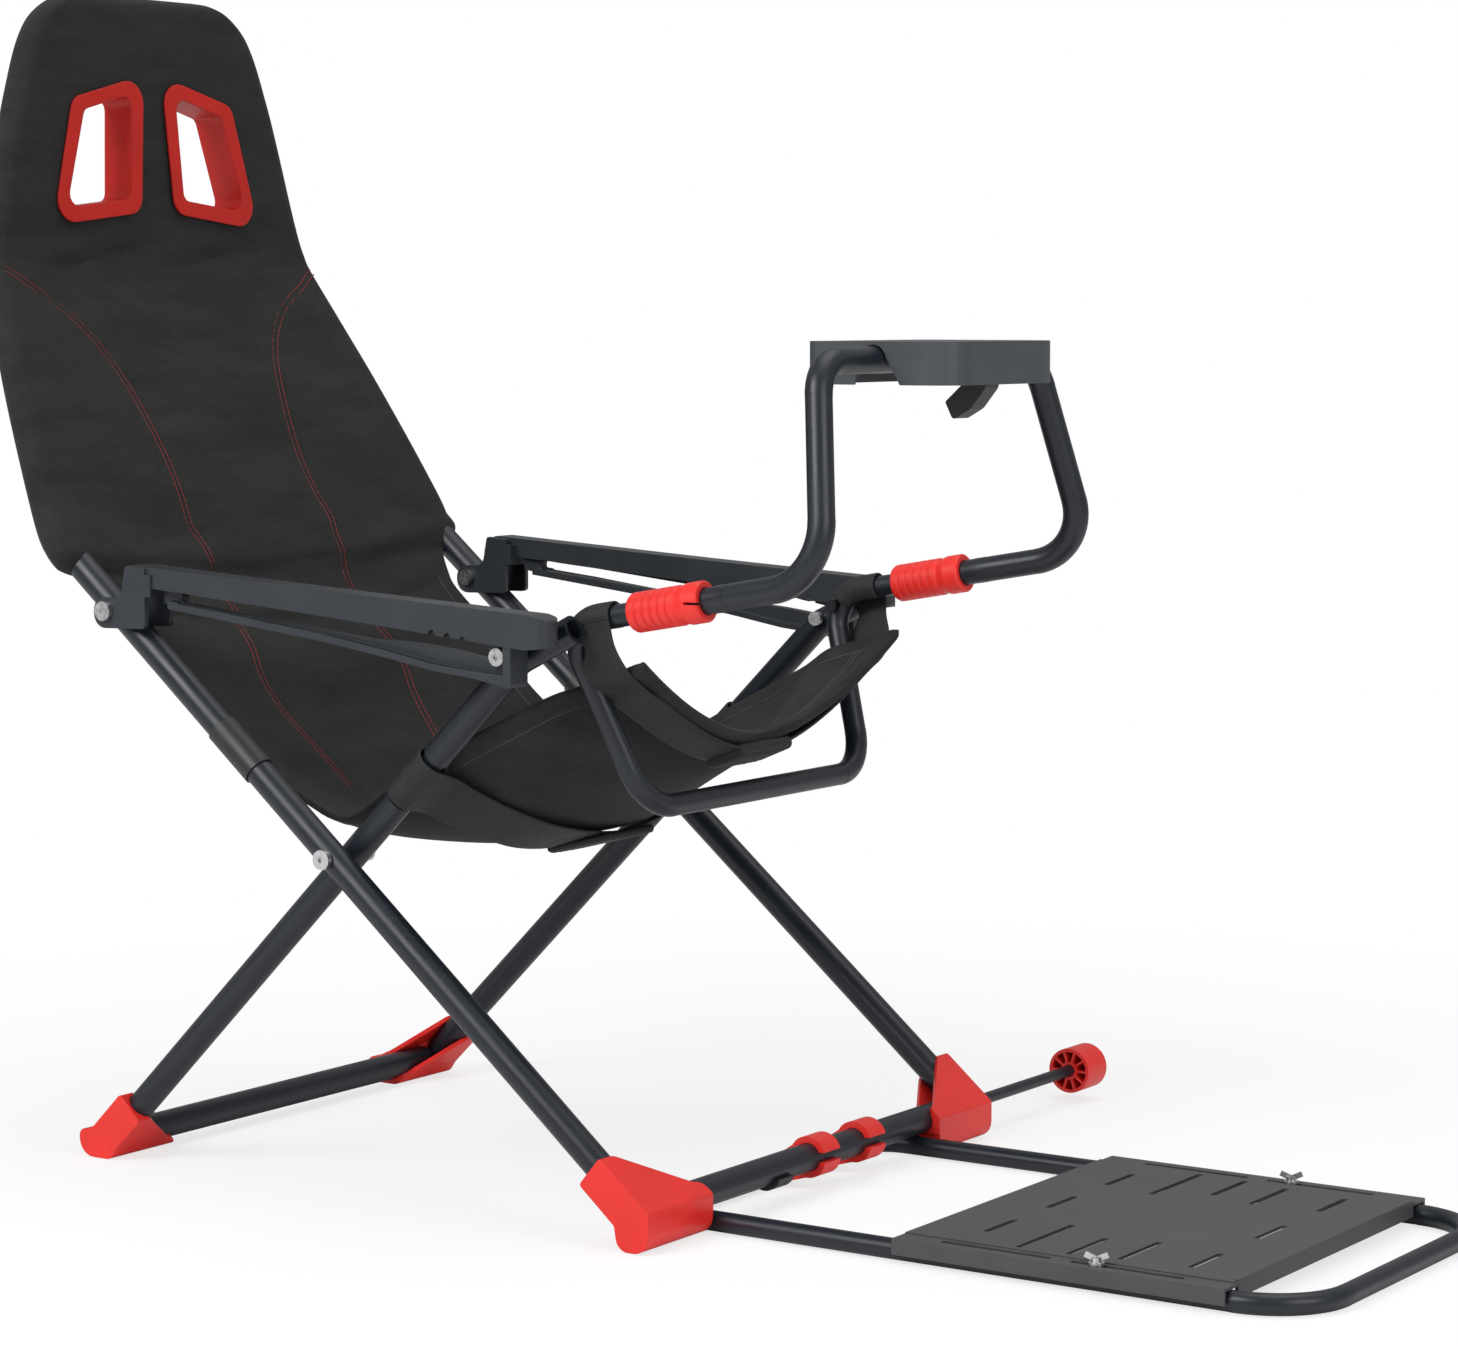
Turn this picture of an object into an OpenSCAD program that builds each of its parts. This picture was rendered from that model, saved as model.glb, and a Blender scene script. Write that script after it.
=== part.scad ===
/* [Main tubes] */
// outer radius of the frame tubes
tube_r = 11.5; // [9:0.5:14]
// wall thickness of every tube
wall = 1.5; // [1:0.1:2.5]
// distance from the middle plane to the outer leg tubes
leg_a_y = 242; // [210:1:280]
// sideways step from one tube plane to the next
plane_step = 26; // [25:0.5:34]
// outer radius of the front frame tube
front_r = 9; // [8:0.2:9.4]
// outer radius of the wheel support tube
support_r = 10.4; // [10.2:0.1:12]

/* [Legs] */
// height of the cross pivot
pivot_z = 276; // [240:1:320]
// angle of the legs that carry the backrest
leg_a_deg = 40; // [36:0.5:44]
// angle of the legs that carry the front frame
leg_b_deg = 44.8; // [42:0.2:48]
// height of the front foot tube
front_foot_z = 28; // [26:1:34]
// height of the rear foot tube
rear_foot_z = 16; // [15:1:20]

/* [Backrest] */
// height of the top bar of the backrest tube
back_top_z = 968; // [900:1:1000]
// half width of the backrest tube at its top corners
back_top_y = 118; // [100:1:140]
// thickness of the backrest cloth over its tube
back_cloth_t = 29; // [27:1:40]

/* [Armrest] */
// distance of the rear armrest bolt behind the pivot
arm_rear_x = 224; // [200:1:240]
// distance of the front armrest bolt before the pivot
arm_front_x = 170; // [150:1:190]
// thickness of the armrest moulding
arm_t = 24; // [20:1:24]

/* [Front frame and wheel support] */
// length of the red clamps
clamp_l = 66; // [55:1:72]
// radius of the red clamps
clamp_r = 15.6; // [14.5:0.1:19]
// height of the bar that carries the wheel plate
top_bar_z = 671; // [640:1:700]
// wheel plate size front to back
plate_l = 132; // [110:1:150]
// wheel plate size side to side
plate_w = 172; // [150:1:190]
// depth of the skirt round the wheel plate
plate_skirt = 33; // [30:1:38]

/* [Pedal frame] */
// outer radius of the pedal frame tube
pedal_tube_r = 8; // [6.5:0.5:9]
// distance from the middle plane to the pedal frame side tubes
pedal_y = 161; // [150:1:170]
// pedal plate size front to back
pedal_l = 276; // [260:1:300]
// pedal plate size side to side
pedal_w = 346; // [340:1:360]

/* [Side wheel] */
// radius of the side wheel
wheel_r = 20; // [17:0.5:22]
// width of the side wheel
wheel_w = 34; // [25:1:40]

/* [Hidden] */
$fn = 64;
sheet = 2.5;
join = 0.15;
lap = 0.6;
leg_gap = 8;
clear = 0.3;
bolt_r = 4;
leg_b_y = leg_a_y - plane_step;
front_y = leg_b_y - plane_step + 2;
front_foot_x = (pivot_z - front_foot_z) / tan(leg_a_deg);
rear_foot_x = -(pivot_z - rear_foot_z) / tan(leg_b_deg);
arm_rear_z = pivot_z + arm_rear_x * tan(leg_a_deg);
arm_front_z = pivot_z + arm_front_x * tan(leg_b_deg);
hinge_x = 203;
hinge_z = 459;
origin_x = 194.5;
origin_y = 99.1;

function unit(v) = v / norm(v);
function on_a(t, y) = [-t * cos(leg_a_deg), y, pivot_z + t * sin(leg_a_deg)];
function on_b(t, y) = [t * cos(leg_b_deg), y, pivot_z + t * sin(leg_b_deg)];
function flip(v) = [v.x, -v.y, v.z];
function turn(a, b, c) = acos(unit(b - a) * unit(c - b));
function cut_back(p, r, i) = (i == 0 || i == len(p) - 1) ? 0 : r[i] * tan(turn(p[i - 1], p[i], p[i + 1]) / 2);

function side(a, b) = sign(a.x * b.y - a.y * b.x);
function fillet(a, b, c, r) = let (u = unit(a - b), v = unit(c - b), h = acos(u * v) / 2, m = b + unit(u + v) * r / sin(h),
    p = b + u * r / tan(h) - m, t = (180 - 2 * h) * -side(u, v))
    [for (i = [0 : 6]) m + [p.x * cos(t * i / 6) - p.y * sin(t * i / 6), p.x * sin(t * i / 6) + p.y * cos(t * i / 6)]];
function rounded(p, r) = let (n = len(p))
    [for (i = [0 : n - 1]) each r[i] > 0 ? fillet(p[(i + n - 1) % n], p[i], p[(i + 1) % n], r[i]) : [p[i]]];

module at_frame() translate([-origin_x, -origin_y, 0]) children();

module toward(p, q) {
    u = unit(q - p);
    translate(p) rotate([0, acos(u.z), atan2(u.y, u.x)]) children();
}

module bar(p, q, r) toward(p, q) cylinder(h = norm(q - p), r = r);

module elbow(a, b, c, big_r, r) {
    u = unit(b - a);
    v = unit(c - b);
    n = unit(cross(u, v));
    s = b - u * big_r * tan(acos(u * v) / 2);
    m = s + big_r * cross(n, u);
    x = (s - m) / big_r;
    y = cross(n, x);
    multmatrix([[x.x, y.x, n.x, m.x], [x.y, y.y, n.y, m.y], [x.z, y.z, n.z, m.z], [0, 0, 0, 1]])
        rotate_extrude(angle = acos(u * v)) translate([big_r, 0]) circle(r = r + join);
}

module path_solid(p, r, tr, extra) {
    for (i = [0 : len(p) - 2]) {
        u = unit(p[i + 1] - p[i]);
        lo = i == 0 ? -extra : cut_back(p, r, i) - lap;
        hi = i == len(p) - 2 ? -extra : cut_back(p, r, i + 1) - lap;
        bar(p[i] + u * lo, p[i + 1] - u * hi, tr);
    }
    if (len(p) > 2) for (i = [1 : len(p) - 2]) elbow(p[i - 1], p[i], p[i + 1], r[i], tr);
}

module bent_tube(p, r, tr, t) difference() {
    path_solid(p, r, tr, 0);
    path_solid(p, r, tr - t, 1);
}

module cross_y(x, z, y0, y1, r) translate([x, y0, z]) rotate([-90, 0, 0]) cylinder(h = y1 - y0, r = r);

hoop_y = 194;
hoop_r = [0, 80, 90, 62, 62, 90, 80, 0];
hoop_half = [on_a(128, -leg_a_y), [-282, -leg_a_y, pivot_z + 282 * tan(leg_a_deg)],
    [-408, -hoop_y, 755], [-417, -back_top_y, back_top_z]];
hoop_pts = concat(hoop_half, [for (i = [3 : -1 : 0]) flip(hoop_half[i])]);

module back_hoop() color("#2b2e33") at_frame() difference() {
    bent_tube(hoop_pts, hoop_r, tube_r, wall);
    cross_y(-arm_rear_x, arm_rear_z, -300, 300, 4.1);
}

leg_a_foot = -(pivot_z - front_foot_z) / sin(leg_a_deg) + leg_gap;
leg_b_foot = -(pivot_z - rear_foot_z) / sin(leg_b_deg) + leg_gap;
module leg_a() color("#2b2e33") difference() {
    bar(on_a(leg_a_foot, -leg_a_y), on_a(106, -leg_a_y), tube_r);
    bar(on_a(leg_a_foot - 1, -leg_a_y), on_a(107, -leg_a_y), tube_r - wall);
    cross_y(0, pivot_z, -300, 0, 4.1);
}
module leg_a_right() at_frame() leg_a();
module leg_a_left() at_frame() mirror([0, 1, 0]) leg_a();

module sleeve_a() color("#1d1f22") difference() {
    union() {
        bar(on_a(106.2, -leg_a_y), on_a(127.8, -leg_a_y), tube_r + 1.5);
        bar(on_a(106.2, -leg_a_y), on_a(100, -leg_a_y), tube_r + 1.5);
        bar(on_a(127.8, -leg_a_y), on_a(150, -leg_a_y), tube_r + 1.5);
    }
    bar(on_a(95, -leg_a_y), on_a(106.2, -leg_a_y), tube_r + 0.1);
    bar(on_a(127.8, -leg_a_y), on_a(155, -leg_a_y), tube_r + 0.1);
    bar(on_a(95, -leg_a_y), on_a(155, -leg_a_y), tube_r - 4);
}
module sleeve_a_right() at_frame() sleeve_a();
module sleeve_a_left() at_frame() mirror([0, 1, 0]) sleeve_a();

module front_foot() color("#2b2e33") at_frame() difference() {
    cross_y(front_foot_x, front_foot_z, -leg_a_y + 14, leg_a_y - 14, tube_r);
    cross_y(front_foot_x, front_foot_z, -leg_a_y + 13, leg_a_y - 13, tube_r - wall);
}

corner_wall = 3.5;
module in_plane(deg, t) rotate([0, deg, 0]) mirror([1, 0, 0]) translate([0, 0, -t / 2]) linear_extrude(t) children();
module corner(deg, reach, height, heel, heel_r) {
    u = [-cos(deg), sin(deg)];
    n = [sin(deg), cos(deg)];
    w = tube_r + corner_wall;
    difference() {
        intersection() {
            translate([0, reach, 0]) rotate([90, 0, 0]) linear_extrude(reach + w)
                polygon(rounded(concat([height * u - w * n, height * u + w * n], heel), heel_r));
            in_plane(deg, 120) polygon(rounded([[height + 1, -w], [height + 1, -2], [3, reach - 11], [0, reach],
                [-60, reach], [-60, -w]], [0, 4, 14, 9, 0, 0]));
        }
        rotate([0, deg - 90, 0]) translate([0, 0, leg_gap - clear]) cylinder(h = height + 10, r = tube_r + 0.1);
        cross_y(0, 0, 13.8, reach + 10, tube_r + 0.1);
        in_plane(deg, 2 * tube_r - 1) polygon([[leg_gap + 6, 2], [height + 9, 2], [height + 9, w + 20], [2, reach + 20],
            [2, 16]]);
    }
}

module corner_front() difference() {
    translate([front_foot_x, -leg_a_y, front_foot_z])
        corner(leg_a_deg, 72, 47, [[19, 3.7], [19, -front_foot_z],
        [-10, -front_foot_z], [-13, -9]], [3, 3, 4, 14, 11, 4]);
    translate([front_foot_x - 60, -pedal_y - pedal_tube_r - 1.5, -1]) cube([120, 60, 2 * pedal_tube_r + 1.6]);
}
module corner_front_right() color("#e23234") at_frame() corner_front();
module corner_front_left() color("#e23234") at_frame() mirror([0, 1, 0]) difference() {
    corner_front();
    cross_y(front_foot_x, front_foot_z, -300, -leg_a_y + 13, 5.1);
}

module corner_rear() translate([rear_foot_x, -leg_b_y, rear_foot_z]) mirror([1, 0, 0])
    corner(leg_b_deg, 63, 43, [[13, 8], [27, 7], [25, -rear_foot_z], [-8, -rear_foot_z],
        [-15, -6]], [3, 3, 4, 7, 15, 8, 4]);
module corner_rear_right() color("#e23234") at_frame() corner_rear();
module corner_rear_left() color("#e23234") at_frame() mirror([0, 1, 0]) corner_rear();

module bolt(x, z, y_out, y_in, head_r) {
    cross_y(x, z, y_out, y_in, bolt_r);
    difference() {
        cross_y(x, z, y_out - 4, y_out, head_r);
        translate([x, y_out - 2, z]) rotate([90, 0, 0]) cylinder(h = 3, r = 3, $fn = 6);
    }
    cross_y(x, z, y_in, y_in + 5, head_r - 1);
}

module pivot_bolts() color("#b8babd") at_frame() for (m = [0, 1]) mirror([0, m, 0])
    bolt(0, pivot_z, -leg_a_y - tube_r - 1, -leg_b_y + tube_r + 1, 8);

module arm_rear_bolts() color("#b8babd") at_frame() for (m = [0, 1]) mirror([0, m, 0])
    bolt(-arm_rear_x, arm_rear_z, -leg_a_y - tube_r - 6 - clear, -leg_a_y + tube_r + 6 + clear, 8);

module wheel_axle() color("#2b2e33") at_frame() cross_y(front_foot_x, front_foot_z, leg_a_y - 13, 462, 5);

back_tilt = atan((hoop_half[1].x - hoop_half[2].x) / (hoop_half[2].z - hoop_half[1].z));
head_tilt = atan((hoop_half[2].x - hoop_half[3].x) / (hoop_half[3].z - hoop_half[2].z));
back_len = (hoop_half[2].z - hoop_half[1].z) / cos(back_tilt);
head_len = (hoop_half[3].z - hoop_half[2].z) / cos(head_tilt);
edge = tube_r + 3;
rim_pts = rounded([[12, 159], [103, 136], [134, 25], [22, 38]], [19, 16, 19, 16]);
hole_pts = rounded([[19, 150], [98, 130], [126, 31], [28, 44]], [14, 12, 14, 12]);
trim_pts = rounded([[28, 142], [90, 126], [117, 41], [34, 50]], [10, 8, 10, 8]);

module on_slab(tilt, p, w, t) translate([p.x, 0, p.z]) rotate([0, -tilt, 0]) rotate([90, 0, 90]) translate([0, 0, w])
    linear_extrude(t) children();
module slab(tilt, p, t) on_slab(tilt, p, -t / 2, t) children();
module both_sides() for (m = [0, 1]) mirror([m, 0, 0]) children();

module back_cloth() color("#303032") at_frame() difference() {
    union() {
        slab(head_tilt, hoop_half[2], back_cloth_t) difference() {
            polygon([[-hoop_y - edge, 0], [-back_top_y - edge - 17, head_len - 40], [-back_top_y - 10, head_len + 4],
                [-back_top_y + 13, head_len + edge], [back_top_y - 13, head_len + edge],
                [back_top_y + 10, head_len + 4], [back_top_y + edge + 17, head_len - 40], [hoop_y + edge, 0]]);
            both_sides() polygon(hole_pts);
        }
        slab(back_tilt, hoop_half[1], back_cloth_t)
            polygon([[-leg_a_y - edge, -16], [-hoop_y - edge, back_len + 4], [hoop_y + edge, back_len + 4], [leg_a_y + edge, -16]]);
    }
    path_solid(hoop_pts, hoop_r, tube_r + 0.1, 1);
}

module head_trims() color("#d42b2d") at_frame() difference() {
    union() {
        slab(head_tilt, hoop_half[2], back_cloth_t + 1) both_sides() polygon(hole_pts);
        for (w = [-back_cloth_t / 2 - 2, back_cloth_t / 2]) on_slab(head_tilt, hoop_half[2], w, 2)
            both_sides() polygon(rim_pts);
    }
    slab(head_tilt, hoop_half[2], back_cloth_t + 10) both_sides() polygon(trim_pts);
}

module leg_b() color("#2b2e33") difference() {
    union() {
        bar(on_b(leg_b_foot, -leg_b_y), on_b(66, -leg_b_y), tube_r);
        bar(on_b(65, -leg_b_y), on_b(119, -leg_b_y), tube_r - 2);
        path_solid([on_b(118, -leg_b_y), on_b(arm_front_x / cos(leg_b_deg) - 8, -leg_b_y),
            [hinge_x + 15, -leg_b_y, hinge_z + 7]], [0, 30, 0], tube_r, 0);
    }
    path_solid([on_b(leg_b_foot - 1, -leg_b_y),
        on_b(arm_front_x / cos(leg_b_deg) - 8, -leg_b_y), [hinge_x + 17, -leg_b_y, hinge_z + 8]],
        [0, 30, 0], tube_r - wall - 2, 1);
    cross_y(0, pivot_z, -300, 0, 4.1);
    cross_y(arm_front_x, arm_front_z, -300, 0, 4.1);
    cross_y(hinge_x, hinge_z, -300, 0, 4.1);
}
module leg_b_right() at_frame() leg_b();
module leg_b_left() at_frame() mirror([0, 1, 0]) leg_b();

module rear_foot() color("#2b2e33") at_frame() difference() {
    cross_y(rear_foot_x, rear_foot_z, -leg_b_y + 14, leg_b_y - 14, tube_r);
    cross_y(rear_foot_x, rear_foot_z, -leg_b_y + 13, leg_b_y - 13, tube_r - wall);
}

module arm_front_bolts() color("#b8babd") at_frame() for (m = [0, 1]) mirror([0, m, 0])
    bolt(arm_front_x, arm_front_z, -leg_a_y - 6 - clear, -leg_b_y + tube_r + 1, 7);

module front_hinge_bolts() color("#26282b") at_frame() for (m = [0, 1]) mirror([0, m, 0])
    bolt(hinge_x, hinge_z, -leg_b_y - tube_r - join - clear, -front_y + front_r + 5, 6);

arm_ratio = 0.33;
fold_max = 36;
function rear(dx, dz) = [-arm_rear_x + dx, arm_rear_z + dz];
function fore(dx, dz) = [arm_front_x + dx, arm_front_z + dz];
function arm_pt(f) = let (b = leg_b_deg + f, l = arm_front_x / cos(leg_b_deg), a = -arm_ratio * f,
    q = [l * cos(b) + arm_rear_x, pivot_z + l * sin(b) - arm_rear_z])
    rear(q.x * cos(a) - q.y * sin(a), q.x * sin(a) + q.y * cos(a));
slot_mid = concat([for (f = [0 : 6 : fold_max]) arm_pt(f)], [rear(78, 13)]);
function slot_n(i) = let (a = slot_mid[max(i - 1, 0)], b = slot_mid[min(i + 1, len(slot_mid) - 1)], u = unit(b - a)) [-u.y, u.x];
slot_k = len(slot_mid) - 1;
module arm_slot(w) {
    polygon(concat([for (i = [0 : slot_k]) slot_mid[i] + w * slot_n(i)], [for (i = [slot_k : -1 : 0]) slot_mid[i] - w * slot_n(i)]));
    translate(slot_mid[0]) circle(r = w + 0.05);
    translate(slot_mid[slot_k]) circle(r = w + 0.05);
}

module layer(y0, y1) translate([0, y1, 0]) rotate([90, 0, 0]) linear_extrude(y1 - y0) children();
arm_out = -leg_a_y - arm_t / 2 - 3.5;
rail_top = [rear(64, 10.5), rear(224, -9), rear(284, -18), rear(334, -27), fore(-20, -11.5), fore(14, -13.5)];
module arm() difference() {
    union() {
        intersection() {
            translate([-arm_rear_x, 0, 0]) linear_extrude(1000) polygon(rounded([[0, arm_out - 1], [444, arm_out - 1],
                [444, arm_out + arm_t + 1], [0, arm_out + arm_t + 1]], [0, 12, 12, 0]));
            layer(arm_out, arm_out + arm_t) polygon(rounded([rear(22, 38.5), rear(246, 25), fore(36, 34), fore(50, 30), fore(50, 9),
            fore(30, 7), rear(246, 4), rear(22, 22)], [4, 300, 20, 5, 4, 20, 300, 0]));
        }
        layer(arm_out + 2, arm_out + arm_t - 4) polygon(concat(rail_top, [fore(14, -20), fore(6, -21.5),
            fore(-20, -17), rear(334, -32), rear(284, -23.5), rear(224, -14.5), rear(64, 4)]));
        layer(-leg_a_y - 6, -leg_a_y + 3) polygon([rear(54, 28), rear(246, 12), fore(14, 18), fore(14, -17),
            fore(-20, -14), rear(334, -30), rear(284, -21), rear(224, -12), rear(54, 8)]);
        layer(arm_out + 1, arm_out + arm_t - 1) polygon(rounded([fore(9.5, 20), fore(17, 20), fore(17, -23),
            fore(9.5, -23)], [0, 0, 4, 2]));
        for (s = [-leg_a_y - tube_r - 6, -leg_a_y + tube_r + 1.5]) layer(s, s + 4.5)
            polygon(rounded([rear(22, 38), rear(17, 11), rear(-12.5, 11), rear(-12.5, -14.5), rear(43, -13), rear(43, 36)],
                [3, 9, 11, 12, 4, 0]));
        translate([-arm_rear_x + 36, -leg_a_y - tube_r - 6, arm_rear_z + 13]) cube([13, 2 * tube_r + 12, 18]);
    }
    layer(-leg_a_y - 20, -leg_a_y + 20) arm_slot(5);
    layer(-leg_a_y - 11, -leg_a_y - 6) arm_slot(7.6);
    for (i = [2 : 4]) layer(-leg_a_y - 20, -leg_a_y + 20) translate(arm_pt(i * 4.4) + [0, 6]) circle(r = 3.4);
    cross_y(-arm_rear_x, arm_rear_z, -300, 0, bolt_r + clear);
}
module arm_right() color("#34373c") at_frame() arm();
module arm_left() color("#34373c") at_frame() mirror([0, 1, 0]) arm();

sock_dir = unit([67.5, 0, 12]);
knee = [192, -front_y, 467];
sock_end = knee + 126 * sock_dir;
front_half = [sock_end, knee, [244, -158, 323]];
front_pts = [front_half[0], front_half[1], front_half[2], flip(front_half[2]), flip(front_half[1]), flip(front_half[0])];
module front_frame() color("#2b2e33") at_frame() difference() {
    bent_tube(front_pts, [0, 28, 44, 44, 28, 0], front_r, wall);
    cross_y(hinge_x, hinge_z, -300, 300, bolt_r + 0.2);
}

clamp_at = knee + 68 * sock_dir;
rib = (clamp_l - 22) / 6;
module clamp() difference() {
    toward(clamp_at, sock_end) union() {
        rotate_extrude() polygon(concat([[front_r + 0.1, 0], [clamp_r - 1.2, 0], [clamp_r - 1.2, 1.5]],
            [for (i = [0 : 5]) each [[clamp_r, 2 + i * rib], [clamp_r, rib - 0.6 + i * rib], [clamp_r - 1.2, rib + 0.4 + i * rib],
                [clamp_r - 1.2, rib + 1.6 + i * rib]]], [[clamp_r + 0.5, clamp_l - 14], [clamp_r + 0.5, clamp_l - 1.5],
            [clamp_r - 1, clamp_l], [support_r + clear, clamp_l], [support_r + clear, 8], [front_r + 0.1, 8]]));
    }
    toward(clamp_at + (clamp_l - 9) * sock_dir, clamp_at + clamp_l * sock_dir) rotate([90, 0, 90]) cylinder(h = 60, r = 2.6);
    translate(clamp_at + (clamp_l - 7) * sock_dir + [-4, -clamp_r - 5, -1]) cube([24, 12, 2]);
}
module clamp_right() color("#e23234") at_frame() clamp();
module clamp_left() color("#e23234") at_frame() mirror([0, 1, 0]) clamp();

support_half = [clamp_at + 10 * sock_dir, sock_end + 24 * sock_dir, knee + 246 * sock_dir + [0, -11, 0],
    [404, -163, top_bar_z]];
support_pts = concat(support_half, [for (i = [3 : -1 : 0]) flip(support_half[i])]);
module wheel_support() color("#2b2e33") at_frame() bent_tube(support_pts, [0, 90, 45, 34, 34, 45, 90, 0],
    support_r, 1.2);

plate_drop = 19;
plate_x0 = 342;
function plate_out(d) = rounded([[d, -plate_w / 2 + d], [plate_l - d, -plate_w / 2 + d], [plate_l - d, plate_w / 2 - d],
    [d, plate_w / 2 - d]], [12 - d, 29 - d, 29 - d, 12 - d]);
module wheel_plate() color("#3a3c3e") at_frame() translate([plate_x0, 0, top_bar_z - plate_drop]) difference() {
    linear_extrude(plate_skirt) polygon(plate_out(0));
    translate([0, 0, -1]) linear_extrude(plate_skirt - sheet + 1) polygon(plate_out(sheet));
    translate([404 - plate_x0, -plate_w / 2 - 1, plate_drop]) rotate([-90, 0, 0]) mirror([0, 1, 0])
        linear_extrude(plate_w + 2) {
            circle(r = support_r + 1.4);
            polygon([[-support_r - 1.3, 0], [support_r + 1.3, 2], [support_r + 15, -plate_drop - 2],
                [-support_r - 7, -plate_drop - 2]]);
        }
}

module plate_lever() color("#26282b") at_frame() translate([404, 0, top_bar_z]) {
    difference() {
        translate([-16, -20, -16]) cube([66, 40, 16 + plate_skirt - plate_drop - sheet]);
        cross_y(0, 0, -30, 30, support_r + join + clear);
    }
    translate([46, 10, 0]) rotate([90, 0, 0]) difference() {
        linear_extrude(20) polygon(rounded([[-8, -4], [-8, -16], [-27, -33], [-20, -47], [-4, -38], [9, -22], [13, -4]],
            [0, 3, 2, 3, 12, 10, 0]));
        translate([-22, -41, 4]) rotate(32) cube([10, 7, 12]);
    }
}

loop_x0 = front_foot_x - 38;
loop_x1 = 813;
module loop_part(x0, x1, m, tr) mirror([m, 0, 0]) path_solid([[x0, -pedal_y, pedal_tube_r], [x1, -pedal_y, pedal_tube_r],
    [x1, pedal_y, pedal_tube_r], [x0, pedal_y, pedal_tube_r]], [0, m ? 24 : 60, m ? 24 : 60, 0], tr, 0);
module pedal_path(tr) {
    loop_part(500, loop_x1, 0, tr);
    loop_part(-500, -loop_x0, 1, tr);
}
module pedal_loop() color("#2b2e33") at_frame() difference() {
    pedal_path(pedal_tube_r);
    pedal_path(pedal_tube_r - wall);
    for (s = [-1, 1]) translate([wing_x, s * pedal_y, -1]) cylinder(h = 4 * pedal_tube_r, r = wing_r + 0.2);
}

clip_w = 24;
module pedal_clip(y) translate([front_foot_x, y + clip_w / 2, front_foot_z]) rotate([90, 0, 0]) linear_extrude(clip_w)
    difference() {
        union() {
            circle(r = tube_r + 5.5);
            translate([loop_x0 - front_foot_x, pedal_tube_r - front_foot_z]) circle(r = pedal_tube_r + 3.5);
            polygon([[-14, 9], [loop_x0 - front_foot_x - 6, pedal_tube_r - front_foot_z + 9],
                [loop_x0 - front_foot_x + 8, pedal_tube_r - front_foot_z - 5], [2, -16]]);
        }
        circle(r = tube_r + 0.1);
        translate([loop_x0 - front_foot_x, pedal_tube_r - front_foot_z]) circle(r = pedal_tube_r + join + 0.15);
        polygon([[5, 4], [40, 8], [40, -3], [5, -3]]);
        translate([-80, -front_foot_z - 20]) square([120, 22.5]);
    }
module pedal_clips() color("#d42b2d") at_frame() for (y = [6, 76]) pedal_clip(y);

module foot_saddle() color("#26282b") at_frame() difference() {
    cross_y(front_foot_x, front_foot_z, -70, -48, tube_r + 4);
    cross_y(front_foot_x, front_foot_z, -71, -47, tube_r + 0.1);
    translate([front_foot_x - 40, -72, front_foot_z - 5]) cube([80, 26, 40]);
}

pedal_x = 615;
wing_x = 644;
wing_r = 2.6;
strip_z = 2 * pedal_tube_r + join + clear;
deck_z = strip_z + 0.8;
deck_w = pedal_y - 8;
module slot_x(x, y, l) {
    translate([x - 2.6, y - l / 2 + 2.6]) square([5.2, l - 5.2]);
    translate([x, y - l / 2 + 2.6]) circle(r = 2.65);
    translate([x, y + l / 2 - 2.6]) circle(r = 2.65);
}
module pedal_plate() color("#5a5c5f") at_frame() difference() {
    union() {
        translate([pedal_x - pedal_l / 2, -deck_w, deck_z]) cube([pedal_l, 2 * deck_w, sheet]);
        for (s = [0, 1]) mirror([0, s, 0]) {
            translate([pedal_x - pedal_l / 2, deck_w - 0.5, strip_z]) cube([pedal_l, pedal_w / 2 - deck_w + 0.5, sheet]);
            translate([pedal_x - pedal_l / 2, pedal_w / 2 - sheet, 6.5]) cube([pedal_l, sheet, strip_z - 5.5]);
        }
        translate([pedal_x + pedal_l / 2 - sheet, -pedal_y + pedal_tube_r + 2, 8]) cube([sheet, 2 * (pedal_y - pedal_tube_r - 2), strip_z - 3]);
    }
    translate([0, 0, 2]) linear_extrude(60) {
        for (y = [-95, 0, 95]) slot_x(pedal_x - 89, y, 46);
        for (y = [-107, 0, 107]) slot_x(pedal_x + 90, y, 50);
        for (s = [-1, 1]) {
            slot_x(pedal_x - 44, s * 105, 86);
            slot_x(pedal_x - 3, s * 116, 60);
            slot_x(pedal_x + 36, s * 107, 64);
        }
    }
    for (s = [-1, 1]) for (x = [pedal_x - 101, pedal_x + 8]) translate([x, s * pedal_y - wing_r - 0.4, 3])
        cube([92, 2 * wing_r + 0.8, 60]);
}

module wing_bolts() color("#b8babd") at_frame() for (s = [-1, 1]) translate([wing_x, s * pedal_y, strip_z + sheet + clear]) {
    translate([0, 0, -strip_z - sheet + 4]) cylinder(h = strip_z + sheet, r = wing_r);
    cylinder(h = 2, r = 6);
    cylinder(h = 5.5, r = 4);
    for (a = [20, 200]) rotate(a) rotate([0, -24, 0]) translate([2, -1, 1.6]) cube([9, 2, 4.2]);
}

module side_wheel() color("#e23234") at_frame() translate([front_foot_x, 428, front_foot_z]) rotate([-90, 0, 0])
    difference() {
        union() {
            difference() {
                cylinder(h = wheel_w, r = wheel_r);
                translate([0, 0, -1]) cylinder(h = wheel_w - 2, r = wheel_r - 3);
            }
            cylinder(h = wheel_w, r = 8);
            for (a = [0 : 36 : 324]) rotate(a) translate([6, -1, 0]) cube([wheel_r - 8, 2, wheel_w - 1]);
        }
        translate([0, 0, -1]) cylinder(h = wheel_w + 2, r = 5.3);
    }

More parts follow.
